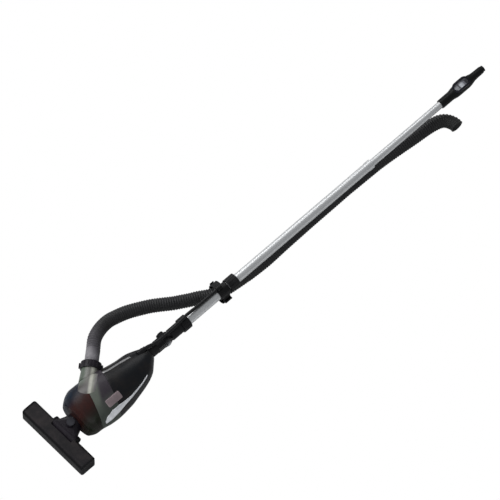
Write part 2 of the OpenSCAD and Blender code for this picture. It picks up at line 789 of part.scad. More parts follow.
module strainer() color("#55565a") {
    x1 = chamber_x - eye_t / 2;
    pump_pipe(x1 - 3, x1, strainer_r, strainer_r - 4);
    difference() {
        pump_rod(x1 - strainer_len, x1 - strainer_len + 3, strainer_r);
        for (i = [0:5]) rod_x(x1 - strainer_len - 1, x1 - strainer_len + 4, 5,
            pump_y + 17 * cos(60 * i), pump_z + 17 * sin(60 * i));
    }
    for (i = [0:strainer_bars - 1]) rod_x(x1 - strainer_len + 1, x1 - 1, 1.5,
        pump_y + (strainer_r - 2) * cos(360 * i / strainer_bars),
        pump_z + (strainer_r - 2) * sin(360 * i / strainer_bars));
}

module impeller() color("#c9c9c4") {
    x0 = chamber_x + 4;
    x1 = chamber_x + chamber_len - 3;
    difference() {
        union() {
            pump_rod(x1 - 3, x1, impeller_r);
            pump_rod(x0, x1, 9);
            for (i = [0:vanes - 1]) translate([x0, pump_y, pump_z])
                rotate([360 * i / vanes, 0, 0]) translate([0, 6, 3])
                    cube([x1 - x0, impeller_r - 8, 2.5]);
        }
        pump_rod(x0 - 1, x1 + 1, shaft_r + fit_gap);
    }
}

stack_x = motor_x + (can_len - stack_len) / 2;
bearing_x1 = motor_x - 9;
bearing_x2 = motor_x + can_len - can_wall - bearing_w;

module motor_shaft() color("#c0c2c6") pump_rod(chamber_x + 5, motor_x + can_len - can_wall - 1,
    shaft_r);

module rotor() color("#8a8378") pump_pipe(stack_x, stack_x + stack_len, rotor_r, shaft_r + fit_gap);

module stator() color("#7a4a30") pump_pipe(stack_x, stack_x + stack_len,
    can_r - can_wall - seat_gap, rotor_r + 1);

module bearings() color("#b5b7ba") {
    pump_pipe(bearing_x1, bearing_x1 + bearing_w, bearing_r + 2, shaft_r + fit_gap);
    pump_pipe(bearing_x2, bearing_x2 + bearing_w, bearing_r, shaft_r + fit_gap);
}

module shaft_seal() color("#202020") pump_pipe(motor_x - 12, bearing_x1 - seat_gap, bearing_r,
    shaft_r + fit_gap);

module motor_can() color("#8f9296") difference() {
    pump_rod(motor_x, motor_x + can_len, can_r);
    pump_rod(motor_x + can_wall, motor_x + can_len - can_wall, can_r - can_wall);
    pump_rod(motor_x - 1, motor_x + can_wall + 1, shaft_r + 2);
}

shell_screws = [[rear_x + 29, -49], [rear_x + 44, 34], [rear_x + 104, -36], [rear_x + 104, 22]];

// Value k of the head's outline at x, and the height of its underside at x and y
function outline_at(x, k) = lookup((x - head_x) / head_len, [for (p = head_rings) [p[0], p[k]]]);
function under_z(x, y) = axis_z - head_h * outline_at(x, 3) - head_h * outline_at(x, 4)
    * sqrt(1 - pow((y - head_w * outline_at(x, 1)) / (head_w * outline_at(x, 2)), 2));
screw_seat = [for (p = shell_screws) under_z(p[0], p[1]) + 5];
gland_x = tip_x - 30;
gland_y = cable_route[0][1];
gland_z = cable_route[0][2];

// Rear shell above (up = 1) or below (up = -1) the parting plane
module rear_shell(up) {
    lo = up > 0 ? axis_z : -big;
    hi = up > 0 ? big : axis_z;
    difference() {
        union() {
            intersection() {
                union() {
                    difference() {
                        head_form();
                        head_form(-head_wall);
                    }
                    nut_cup();
                }
                behind_plane(rear_x + run_gap);
                block([0, -big, lo], [tip_x + 1, big, hi]);
            }
            intersection() {
                head_form(-head_wall / 2);
                for (p = shell_screws) rod_z(up > 0 ? axis_z : 0, up > 0 ? axis_z + 40 : axis_z, 4.5,
                    p[0], p[1]);
            }
        }
        rod_x(tip_x - 60, tip_x + 1, stem_r + seat_gap, 0);
        outlet_outside(run_gap);
        nut_room();
        pump_rod(motor_x - 2, motor_x + can_len + 1, can_r + seat_gap);
        for (p = shell_screws) rod_z(-1, axis_z + 12, 1.6 + fit_gap, p[0], p[1]);
    }
}

module body_upper() color("#17171a") difference() {
    rear_shell(1);
    rod_x(gland_x - 1, tip_x + 20, cable_r + 3 + seat_gap, gland_y, gland_z);
}

module body_lower() color("#151518") {
    difference() {
        rear_shell(-1);
        for (i = [0:3]) rod_z(-1, screw_seat[i], 3 + seat_gap, shell_screws[i][0],
            shell_screws[i][1]);
    }
    difference() {
        for (s = [-1, 1]) block([rear_x + 9, pump_y + s * skid_y - skid_t / 2, skid_gap],
            [rear_x + 9 + skid_len, pump_y + s * skid_y + skid_t / 2, axis_z - 24]);
        head_form(-1);
    }
}

module body_screws() color("#9a9da1") for (i = [0:3]) {
    p = shell_screws[i];
    rod_z(screw_seat[i], axis_z + 11, 1.6, p[0], p[1]);
    difference() {
        rod_z(screw_seat[i] - 2, screw_seat[i], 3, p[0], p[1]);
        translate([p[0], p[1], screw_seat[i] - 3]) linear_extrude(1.6)
            square([4, 0.8], center = true);
    }
}

// Skin of the head's outline between two distances from it
module skin(g0, g1) {
    difference() {
        head_form(g1);
        head_form(g0);
    }
}

// Middle of the trim strip seen from above
trim_line = [[rear_x + 8, 28], [rear_x + 24, 23.5], [rear_x + 64, 19.5], [rear_x + 94, 14.5]];

module trim_strip() color("#8d8f93") intersection() {
    skin(seat_gap, seat_gap + trim_t);
    translate([0, 0, axis_z]) linear_extrude(big) polygon(concat(
        [for (p = trim_line) p - [0, trim_w / 2]],
        [for (i = [3:-1:0]) trim_line[i] + [0, trim_w / 2]]));
}

// The flash seen from the side: its lower edge towards the tip, then back along its upper edge
flash_shape = [[-74, 64], [-36, 72], [24, 78.5], [64, 79], [96, 81], [96, 86], [64, 87], [24, 88],
    [-4, 92], [-36, 92], [-64, 86]];

module side_flash() color("#d5d7da") intersection() {
    skin(seat_gap, seat_gap + trim_t);
    translate([rear_x, -12, 0]) rotate([90, 0, 0]) linear_extrude(big) polygon(flash_shape);
}

label_a = [rear_x - 46, -57];
label_b = [rear_x + 1, -38];

module label_plate() color("#b9a9a8") intersection() {
    skin(seat_gap, seat_gap + 0.8);
    translate([(label_a[0] + label_b[0]) / 2, (label_a[1] + label_b[1]) / 2, axis_z + 29.5])
        linear_extrude(big) round_rect(label_b[0] - label_a[0], label_b[1] - label_a[1], 3);
}

// ---------- coupling ----------

fork_y = tongue_t / 2 + run_gap;
fork_out = fork_y + hinge_ear_t;
tail_in = 36;

module rear_yoke() color("#131315") difference() {
    union() {
        rod_x(tip_x - tail_in, tip_x - tail_in + 5, stem_r + 3.5);
        rod_x(tip_x - tail_in, hinge_x - hinge_r - 14, stem_r);
        for (s = [-1, 1]) rod_y(min(s * fork_y, s * fork_out), max(s * fork_y, s * fork_out),
            hinge_r, hinge_x, axis_z);
        block([hinge_x - hinge_r - 16, -fork_out, axis_z - 13], [hinge_x, fork_out, axis_z + 13]);
    }
    rod_y(-fork_y, fork_y, hinge_r + 1, hinge_x, axis_z);
    block([hinge_x - 1, -fork_y, 0], [hinge_x + big, fork_y, big]);
    rod_y(-fork_out - 1, fork_out + 1, bolt_r + fit_gap, hinge_x, axis_z);
}

module hinge_tongue() color("#141416") difference() {
    union() {
        rod_y(-tongue_t / 2, tongue_t / 2, hinge_r - 0.5, hinge_x, axis_z);
        block([hinge_x, -tongue_t / 2, axis_z - 13], [arm_x + 1, tongue_t / 2, axis_z + 13]);
        rod_x(arm_x, arm_end, arm_r);
        rod_x(arm_end - 1, arm_end + socket_nut_len - 9, arm_r - 1);
    }
    rod_x(lower_x, arm_end + socket_nut_len, lower_r + fit_gap);
    rod_y(-tongue_t, tongue_t, bolt_r + fit_gap, hinge_x, axis_z);
}

module hinge_bolt() color("#a6a9ad") {
    rod_y(-fork_out - hinge_washer_t - 4, fork_out + hinge_washer_t + knob_h - 3, bolt_r, hinge_x,
        axis_z);
    translate([hinge_x, -fork_out - hinge_washer_t, axis_z]) rotate([90, 0, 0])
        cylinder(r = 7.5, h = 4, $fn = 6);
}

module hinge_washers() color("#b8babd") for (s = [-1, 1]) difference() {
    rod_y(min(s * fork_out, s * (fork_out + hinge_washer_t)),
        max(s * fork_out, s * (fork_out + hinge_washer_t)), 8.5, hinge_x, axis_z);
    rod_y(-big, big, bolt_r + fit_gap, hinge_x, axis_z);
}

module hinge_knob() color("#0f0f11") difference() {
    rod_y(fork_out + hinge_washer_t + run_gap, fork_out + hinge_washer_t + knob_h, knob_r, hinge_x,
        axis_z);
    rod_y(fork_out, fork_out + hinge_washer_t + knob_h - 2.5, bolt_r + fit_gap, hinge_x, axis_z);
    for (i = [0:7]) rod_y(fork_out, fork_out + 30, 2.6, hinge_x + (knob_r + 1) * cos(45 * i),
        axis_z + (knob_r + 1) * sin(45 * i));
}

module socket_nut() color("#101012") difference() {
    rod_x(arm_end + run_gap, arm_end + socket_nut_len, socket_nut_r);
    rod_x(arm_end, arm_end + socket_nut_len - 8, arm_r - 1 + run_gap);
    rod_x(arm_end, arm_end + socket_nut_len + 1, lower_r + run_gap);
    for (i = [0:11]) rod_x(arm_end + 4, arm_end + socket_nut_len + 1, 1.5,
        (socket_nut_r + 0.6) * cos(30 * i), axis_z + (socket_nut_r + 0.6) * sin(30 * i));
}

// ---------- pole ----------

module lower_tube() color("#c3c6ca") pipe_x(lower_x, lower_end, lower_r, lower_r - tube_wall);

module middle_tube() color("#cfd2d6") pipe_x(middle_x, middle_end, middle_r, middle_r - tube_wall);

module middle_glide() color("#e6e6e2") difference() {
    union() {
        rod_x(middle_x - glide_len, middle_x, lower_r - tube_wall - run_gap);
        rod_x(middle_x, middle_x + glide_plug, middle_r - tube_wall - fit_gap);
    }
    rod_x(middle_x - glide_len - 1, middle_x + glide_plug + 1, coil_r + run_gap * 2);
}

module end_bush() color("#b7babe") difference() {
    rod_x(middle_end - 10, middle_end + 6, middle_r + 0.9);
    rod_x(middle_end - 11, middle_end + 7, upper_r + fit_gap);
    rod_x(middle_end - 11, middle_end, middle_r + fit_gap);
}

module upper_tube() color("#dadde0") pipe_x(upper_x, upper_end, upper_r, upper_r - tube_wall);

module upper_glide() color("#e6e6e2") difference() {
    union() {
        rod_x(upper_x - glide_len * 3, upper_x, middle_r - tube_wall - run_gap);
        rod_x(upper_x, upper_x + glide_plug, upper_r - tube_wall - fit_gap);
    }
    rod_x(upper_x - glide_len * 3 - 1, upper_x + glide_plug + 1, coil_r + run_gap * 2);
}

module collet() color("#d9d9d4") pipe_x(lower_end, collar_end - 3, middle_r + 3.6, middle_r + run_gap);

module lock_collar() color("#121214") difference() {
    rod_x(collar_x, collar_end, collar_r);
    rod_x(collar_x - 1, lower_end + run_gap, lower_r + run_gap);
    rod_x(lower_end - run_gap, collar_end - 3 + run_gap, middle_r + 3.6 + run_gap);
    rod_x(collar_x, collar_end + 1, middle_r + run_gap);
    for (i = [0:13]) rod_x(collar_x + 4, collar_end - 4, 1.4,
        (collar_r + 0.5) * cos(360 * i / 14), axis_z + (collar_r + 0.5) * sin(360 * i / 14));
}

module coiled_lead() color("#1a1a1a") rod_x(clip_x, upper_end, coil_r);

// ---------- hose clip ----------

clip_ring_r = lower_r + clip_ring_t;
loop_h = clip_gap_h + 2 * jaw_t;
loop_left = clip_y - clip_gap_w / 2 - jaw_t;
loop_right = clip_y + clip_gap_w / 2 + jaw_t;
loop_corner_r = 22;
jaw_z = 28;
jaw_y = loop_left - 3.3;
knuckle_r = 3.3;
knuckle_len = 5;
cable_y = cable_route[len(cable_route) - 1][1];
cable_z = cable_route[len(cable_route) - 1][2];

// Band of the hose loop along the pole
module clip_loop() {
    translate([loop_x, 0, 0]) rotate([90, 0, 90]) linear_extrude(loop_len) difference() {
        translate([clip_y, loop_h / 2]) round_rect(clip_gap_w + 2 * jaw_t, loop_h, loop_corner_r);
        translate([clip_y, loop_h / 2]) round_rect(clip_gap_w, clip_gap_h, loop_corner_r - jaw_t);
    }
}

// Knuckle of the jaw's hinge, joined to the loop above (up = 1) or below it
module knuckle(x0, x1, up) {
    rod_x(x0, x1, knuckle_r, jaw_y, jaw_z);
    block([x0, jaw_y, up > 0 ? jaw_z : jaw_z - knuckle_r],
        [x1, loop_left + 1, up > 0 ? jaw_z + knuckle_r : jaw_z]);
}

module clip_saddle() color("#111113") difference() {
    union() {
        rod_x(clip_x, clip_x + clip_len, clip_ring_r);
        intersection() {
            clip_loop();
            block([0, -big, jaw_z + run_gap / 2], [big * 3, big, big]);
        }
        for (x = [loop_x, loop_end - knuckle_len]) difference() {
            knuckle(x, x + knuckle_len, 1);
            block([0, loop_left, 0], [big * 3, big, jaw_z + run_gap / 2]);
        }
        rod_x(clip_x + 2, clip_x + 18, cable_r + 2, cable_y, cable_z);
        block([clip_x + 2, cable_y - 5, axis_z + 8], [clip_x + 18, cable_y + 5, cable_z]);
    }
    rod_x(clip_x - 1, clip_x + clip_len + 1, lower_r + fit_gap);
    rod_x(clip_x - 1, clip_x + clip_len + 1, jaw_pin_r + fit_gap, jaw_y, jaw_z);
    rod_x(clip_x - 1, clip_x + 10, cable_r + seat_gap, cable_y, cable_z);
    rod_x(loop_x + knuckle_len, loop_end - knuckle_len, knuckle_r + run_gap, jaw_y, jaw_z);
}

module clip_jaw() color("#0f0f11") difference() {
    union() {
        intersection() {
            clip_loop();
            block([0, -big, 0], [big * 3, big, jaw_z - run_gap / 2]);
        }
        difference() {
            knuckle(loop_x + knuckle_len + run_gap, loop_end - knuckle_len - run_gap, -1);
            block([0, loop_left, jaw_z - run_gap / 2], [big * 3, big, big]);
        }
        block([loop_x + 5, loop_right - 1, jaw_z - 12], [loop_end - 5, loop_right + 2.4, jaw_z - run_gap]);
        block([loop_x + 5, loop_right + run_gap, jaw_z - 1], [loop_end - 5, loop_right + 2.4, jaw_z + 8]);
    }
    rod_x(clip_x - 1, clip_x + clip_len + 1, jaw_pin_r + fit_gap, jaw_y, jaw_z);
    for (x = [loop_x - 1, loop_end - knuckle_len - run_gap])
        rod_x(x, x + knuckle_len + 1 + run_gap, knuckle_r + run_gap, jaw_y, jaw_z);
}

module jaw_pin() color("#aaadb1") rod_x(loop_x, loop_end, jaw_pin_r, jaw_y, jaw_z);

// ---------- outlet ----------

module union_nut() color("#1e1d21") at_outlet() difference() {
    union() {
        outlet_rod(-nut_len / 2, nut_len / 2, nut_r);
        for (s = [-1, 1]) translate([0, s * (lug_r + nut_r) / 2 - s * 2.2, 0])
            cube([13, lug_r - nut_r + 4, 8], center = true);
    }
    outlet_rod(-nut_len / 2 - 1, 2 + washer_t + flange_t + run_gap, outlet_r + run_gap);
    outlet_rod(0, nut_len / 2 + 1, hose_r + run_gap);
    for (i = [0:15]) rotate([22.5 * i + 11.25, 0, 0]) translate([0, 0, nut_r + 0.8])
        outlet_rod(-nut_len / 2 + 3, nut_len / 2 - 3, 1.8);
}

module outlet_washer() color("#2a2a2a") at_outlet() difference() {
    outlet_rod(2, 2 + washer_t, outlet_r);
    outlet_rod(1, 3 + washer_t, outlet_bore_r);
}

module hose_tail() color("#4a4a4e") at_outlet() difference() {
    union() {
        outlet_rod(2 + washer_t, 2 + washer_t + flange_t, outlet_r);
        outlet_rod(2 + washer_t, hose_s - seat_gap, hose_r - 0.5);
        outlet_rod(8, 8 + barb_len, hose_bore_r - seat_gap - 0.5);
    }
    outlet_rod(1, 9 + barb_len, hose_bore_r - 3);
}

hose_bore_r = (hose_r - rib_depth - hose_wall) * cos(180 / hose_sides);

module hose_loop() color("#4a494e") ribbed_tube(loop_route, cuff_len);

module hose_run() color("#2b2a2e") ribbed_tube(run_route);

// ---------- cable ----------

module cable_gland() color("#161618") difference() {
    union() {
        rod_x(gland_x, gland_x + 18, cable_r + 3, gland_y, gland_z);
        rod_x(gland_x + 17, gland_x + 26, cable_r + 1.5, gland_y, gland_z);
    }
    rod_x(cable_route[0][0] - seat_gap, gland_x + 30, cable_r + fit_gap, gland_y, gland_z);
}

module power_cable() color("#0d0d0e") plain_tube(cable_route, cable_r, cable_sides, 12);

// ---------- handle ----------

// Half of a solid of revolution of the handle's outline, shrunk by g, from x0 to x1
module handle_half(up, g, x0, x1) {
    inner = [for (p = handle_outline) if (p[0] > x0 && p[0] < x1) [p[1] - g, p[0]]];
    shape = concat([[0, x0], [outline_r(x0) - g, x0]], inner, [[outline_r(x1) - g, x1], [0, x1]]);
    translate([handle_x, 0, axis_z]) rotate([0, 90, 0]) rotate([0, 0, up > 0 ? 90 : -90])
        rotate_extrude(angle = 180, $fn = 64) polygon(shape);
}

function outline_r(x) = lookup(x, handle_outline);

shell_len = handle_len - 6;
handle_screw_x = [switch_x - 51, switch_x + 35, handle_len - 18];

module handle_shell(up) {
    difference() {
        union() {
            handle_half(up, 0, 0, shell_len);
            rod_x(handle_x + shell_len - eps, handle_x + shell_len + eps, 1);
        }
        handle_half(up, handle_wall, handle_in + 2, shell_len - 3);
        rod_x(handle_x - 1, handle_x + handle_in + 3, upper_r + fit_gap);
        rod_x(handle_x + shell_len - 4, handle_x + handle_len, inlet_bore_r + 2.5 + seat_gap);
        if (up > 0) translate([handle_x + switch_x, 0, axis_z]) linear_extrude(40)
            stadium(bezel_len - 4 + seat_gap, bezel_w - 8 + seat_gap);
    }
    intersection() {
        handle_half(up, handle_wall - eps, handle_in + 2, shell_len - 3);
        difference() {
            for (x = handle_screw_x) rod_z(up > 0 ? axis_z : axis_z - 20,
                up > 0 ? axis_z + 20 : axis_z, 3.6, handle_x + x, 0);
            for (x = handle_screw_x) rod_z(axis_z - 21, axis_z + 6, 1.4 + fit_gap, handle_x + x, 0);
        }
    }
}

module handle_top() color("#141417") handle_shell(1);

module handle_bottom() color("#121215") difference() {
    handle_shell(-1);
    for (x = handle_screw_x) rod_z(axis_z - 21, axis_z + 1, 1.4 + fit_gap, handle_x + x, 0);
    for (x = handle_screw_x) rod_z(axis_z - 21, axis_z - 8, 2.4 + seat_gap, handle_x + x, 0);
}

module handle_screws() color("#9a9da1") for (x = handle_screw_x) {
    rod_z(axis_z - 8, axis_z + 5.5, 1.4, handle_x + x, 0);
    difference() {
        rod_z(axis_z - 9.6, axis_z - 8, 2.4, handle_x + x, 0);
        translate([handle_x + x, 0, axis_z - 10.5]) linear_extrude(1.6)
            square([3.2, 0.7], center = true);
    }
}

bezel_top = 17.6;
bezel_base = 13.5;
well_len = bezel_len - 2 * bezel_rim;
well_w = bezel_w - 2 * bezel_rim;
scoop_r = 120;
scoop_x = 26;
scoop_z = 2.4;
rocker_z = axis_z + 12.5;

module switch_bezel() color("#1a1a22") translate([handle_x + switch_x, 0, axis_z]) difference() {
    union() {
        intersection() {
            translate([0, 0, bezel_base]) linear_extrude(bezel_top - bezel_base)
                stadium(bezel_len, bezel_w);
            rotate([90, 0, 0]) translate([0, -120 + bezel_top, -bezel_w])
                cylinder(r = 120, h = 2 * bezel_w, $fn = 96);
        }
        translate([0, 0, 8]) linear_extrude(bezel_base - 8 + eps)
            stadium(bezel_len - 4, bezel_w - 8);
    }
    translate([0, 0, 7]) linear_extrude(20) stadium(well_len, well_w);
    translate([0, 0, rocker_z - axis_z]) rotate([90, 0, 0]) translate([0, 0, -well_w / 2 - 1.6])
        cylinder(r = trunnion_r + fit_gap, h = well_w + 3.2, $fn = 48);
    handle_clear();
}

// Keeps the bezel's rim clear of the handle's round top
module handle_clear() {
    difference() {
        rotate([0, 90, 0]) cylinder(r = outline_r(switch_x) + seat_gap, h = 2 * bezel_len,
            center = true, $fn = 64);
        linear_extrude(60) stadium(bezel_len - 4, bezel_w - 8);
    }
}

module rocker() color("#c9ccd2") translate([handle_x + switch_x, 0, rocker_z]) {
    difference() {
        translate([0, 0, -3.5]) linear_extrude(9) stadium(well_len - 1.8, well_w - 2 * run_gap);
        for (s = [-1, 1]) translate([s * scoop_x, 0, scoop_z + scoop_r]) rotate([90, 0, 0])
            cylinder(r = scoop_r, h = 2 * well_w, center = true, $fn = 96);
    }
    rotate([90, 0, 0]) cylinder(r = trunnion_r, h = well_w + 2.4, center = true, $fn = 48);
}

block_w = well_w - 2;
block_drop = sqrt(pow(outline_r(switch_x) - handle_wall, 2) - pow(block_w / 2, 2)) - 0.1;

module switch_block() color("#3b3b3f") block(
    [handle_x + switch_x - 18, -block_w / 2, axis_z - block_drop],
    [handle_x + switch_x + 18, block_w / 2, rocker_z - 8]);

module flex_gland() color("#0e0e10") difference() {
    union() {
        rod_x(handle_x + shell_len - 8, handle_x + shell_len - 4, inlet_bore_r + 3.4);
        rod_x(handle_x + shell_len - 5, handle_x + shell_len + 2, inlet_bore_r + 2.5);
        rod_x(handle_x + shell_len + seat_gap, handle_end, inlet_bore_r + 4.6);
    }
    rod_x(handle_x + shell_len - 9, handle_end + 1, inlet_bore_r);
}

nozzle_shell();
sole_plate();
lip_strips();
sole_screws();
tilt_pins();
neck_duct();
neck_o_rings();
release_button();
button_spring();
front_chamber();
strainer();
eye_plate();
pump_housing();
impeller();
motor_shaft();
rotor();
stator();
bearings();
shaft_seal();
motor_can();
body_upper();
body_lower();
body_screws();
trim_strip();
side_flash();
label_plate();
rear_yoke();
cable_gland();
union_nut();
outlet_washer();
hose_tail();
hose_loop();
hose_run();
hinge_tongue();
hinge_bolt();
hinge_washers();
hinge_knob();
socket_nut();
lower_tube();
clip_saddle();
clip_jaw();
jaw_pin();
collet();
lock_collar();
middle_tube();
middle_glide();
end_bush();
upper_tube();
upper_glide();
handle_top();
handle_bottom();
handle_screws();
switch_bezel();
rocker();
switch_block();
flex_gland();
power_cable();
coiled_lead();
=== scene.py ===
import json
import math

import bmesh
import bpy
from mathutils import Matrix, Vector


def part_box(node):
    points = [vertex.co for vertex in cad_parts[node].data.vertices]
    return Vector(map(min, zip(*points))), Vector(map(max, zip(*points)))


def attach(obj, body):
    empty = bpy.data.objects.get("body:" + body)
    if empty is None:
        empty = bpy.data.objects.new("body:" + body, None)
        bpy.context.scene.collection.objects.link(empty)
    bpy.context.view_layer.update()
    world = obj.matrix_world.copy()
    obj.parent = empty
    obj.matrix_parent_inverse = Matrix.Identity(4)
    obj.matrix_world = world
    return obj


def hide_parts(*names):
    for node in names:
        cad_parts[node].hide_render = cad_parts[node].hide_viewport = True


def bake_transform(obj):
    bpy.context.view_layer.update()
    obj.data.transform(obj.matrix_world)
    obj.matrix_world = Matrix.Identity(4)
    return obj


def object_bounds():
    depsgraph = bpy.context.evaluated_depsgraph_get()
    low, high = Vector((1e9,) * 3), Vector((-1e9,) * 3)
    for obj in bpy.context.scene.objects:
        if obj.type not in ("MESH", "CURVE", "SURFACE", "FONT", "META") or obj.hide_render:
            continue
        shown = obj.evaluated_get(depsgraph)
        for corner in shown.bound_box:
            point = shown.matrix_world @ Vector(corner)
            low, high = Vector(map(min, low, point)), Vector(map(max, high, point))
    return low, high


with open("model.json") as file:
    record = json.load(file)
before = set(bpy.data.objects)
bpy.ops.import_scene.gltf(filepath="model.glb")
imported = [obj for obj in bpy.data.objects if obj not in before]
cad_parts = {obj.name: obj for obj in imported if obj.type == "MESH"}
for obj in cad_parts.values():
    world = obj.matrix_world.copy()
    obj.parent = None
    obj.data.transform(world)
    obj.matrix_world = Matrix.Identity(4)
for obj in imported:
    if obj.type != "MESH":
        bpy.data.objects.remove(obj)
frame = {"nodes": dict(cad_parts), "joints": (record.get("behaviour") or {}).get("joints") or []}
nodes = frame["nodes"]
cad_low, cad_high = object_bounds()

MM = 0.001


# ---------- places that the frame gives, in millimetres ----------

def joint_place(name):
    """Where a joint turns."""
    joint = next(j for j in frame["joints"] if j["name"] == name)
    return Vector([round(v / MM, 3) for v in joint["pos_m"]])


def node_box(name):
    """Lowest and highest corner of a CAD piece, to 0.1 mm."""
    return [Vector([round(v / MM, 1) for v in corner]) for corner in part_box(name)]


INLET = joint_place("neck_swivel")
PUMP = joint_place("pump_spin")
OUTLET = joint_place("nut_turn")
ROCKER = joint_place("rocker_tip")
AXIS_Z = joint_place("pole_tilt").z
OUTLET_TURN = math.radians(40)
outlet_way = Vector((math.cos(OUTLET_TURN), math.sin(OUTLET_TURN), 0))


# ---------- meshes ----------

def make_piece(name, points, faces, finish, smooth=True):
    """Mesh object from points in millimetres."""
    mesh = bpy.data.meshes.new(name)
    mesh.from_pydata([Vector(p) * MM for p in points], [], faces)
    shape = bmesh.new()
    shape.from_mesh(mesh)
    bmesh.ops.recalc_face_normals(shape, faces=shape.faces)
    for face in shape.faces:
        face.smooth = smooth
    shape.to_mesh(mesh)
    shape.free()
    piece = bpy.data.objects.new(name, mesh)
    bpy.context.scene.collection.objects.link(piece)
    mesh.materials.append(finish.material)
    return piece


def grid(rows, closed):
    """Points and quads of a grid; closed joins the last column to the first."""
    count = len(rows[0])
    points = [p for row in rows for p in row]
    faces = []
    for r in range(len(rows) - 1):
        for c in range(count if closed else count - 1):
            d = (c + 1) % count
            faces.append((r * count + c, r * count + d, (r + 1) * count + d, (r + 1) * count + c))
    return points, faces


def looped_grid(rows):
    """Points and quads of closed rings, the last of which joins the first."""
    points, faces = grid(rows, True)
    count = len(rows[0])
    last = len(points) - count
    faces += [(last + i, last + (i + 1) % count, (i + 1) % count, i) for i in range(count)]
    return points, faces


def capped_grid(rows):
    """Points and faces of closed rings with a flat face over the first and the last."""
    points, faces = grid(rows, True)
    count = len(rows[0])
    last = len(points) - count
    faces += [tuple(range(count)), tuple(range(last, last + count))]
    return points, faces


def turned(name, profile, finish, sides=64):
    """Solid turned round the outlet's axis: profile holds (distance along it, radius)."""
    axis = outlet_way.normalized()
    side = axis.orthogonal().normalized()
    other = axis.cross(side)
    rows = []
    for along, radius in profile:
        row = []
        for i in range(sides):
            a = 2 * math.pi * i / sides
            row.append(OUTLET + axis * along + (side * math.cos(a) + other * math.sin(a)) * radius)
        rows.append(row)
    points, faces = looped_grid(rows)
    return make_piece(name, points, faces, finish)


def spline(route, steps):
    """Even Catmull-Rom points through a route."""
    route = [Vector(p) for p in route]
    points = []
    for i in range(len(route) - 1):
        a = route[max(i - 1, 0)]
        b = route[i]
        c = route[i + 1]
        d = route[min(i + 2, len(route) - 1)]
        for j in range(steps):
            t = j / steps
            points.append(0.5 * (2 * b + t * (c - a) + t * t * (2 * a - 5 * b + 4 * c - d)
                                 + t * t * t * (3 * b - a - 3 * c + d)))
    points.append(route[-1])
    return points


class Line:
    """A route that can be read by its running length."""

    REACH = 2.0  # a ring stands square to the chord over this length on either side

    def __init__(self, route, steps=8):
        self.points = spline(route, steps)
        self.run = [0.0]
        for a, b in zip(self.points, self.points[1:]):
            self.run.append(self.run[-1] + (b - a).length)
        self.length = self.run[-1]

    def at(self, s):
        """The point at a running length."""
        s = min(max(s, 0.0), self.length)
        low, high = 0, len(self.run) - 1
        while high - low > 1:
            middle = (low + high) // 2
            if self.run[middle] <= s:
                low = middle
            else:
                high = middle
        share = (s - self.run[low]) / max(self.run[high] - self.run[low], 1e-9)
        return self.points[low].lerp(self.points[high], share)

    def ring(self, s, radius, sides):
        """Points of a circle round the route."""
        along = (self.at(s + self.REACH) - self.at(s - self.REACH)).normalized()
        side = Vector((0, 0, 1)).cross(along).normalized()
        up = along.cross(side)
        centre = self.at(s)
        return [centre + side * radius * math.cos(2 * math.pi * i / sides)
                + up * radius * math.sin(2 * math.pi * i / sides) for i in range(sides)]

    def path(self, count):
        """Even points along the route, in metres."""
        return [tuple(self.at(self.length * i / count) * MM) for i in range(count + 1)]


# ---------- finishes ----------

class Value:
    """A shader socket that takes part in ordinary maths."""

    def __init__(self, finish, socket):
        self.finish = finish
        self.socket = socket

    def maths(self, operation, *values):
        return self.finish.add("ShaderNodeMath", {"operation": operation}, dict(enumerate(values)))

    def at_least(self, other):
        """The greater of this value and another."""
        return self.maths("MAXIMUM", self, other)

    def __add__(self, other):
        return self.maths("ADD", self, other)

    __radd__ = __add__

    def __sub__(self, other):
        return self.maths("SUBTRACT", self, other)

    def __rsub__(self, other):
        return self.maths("SUBTRACT", other, self)

    def __mul__(self, other):
        return self.maths("MULTIPLY", self, other)

    __rmul__ = __mul__


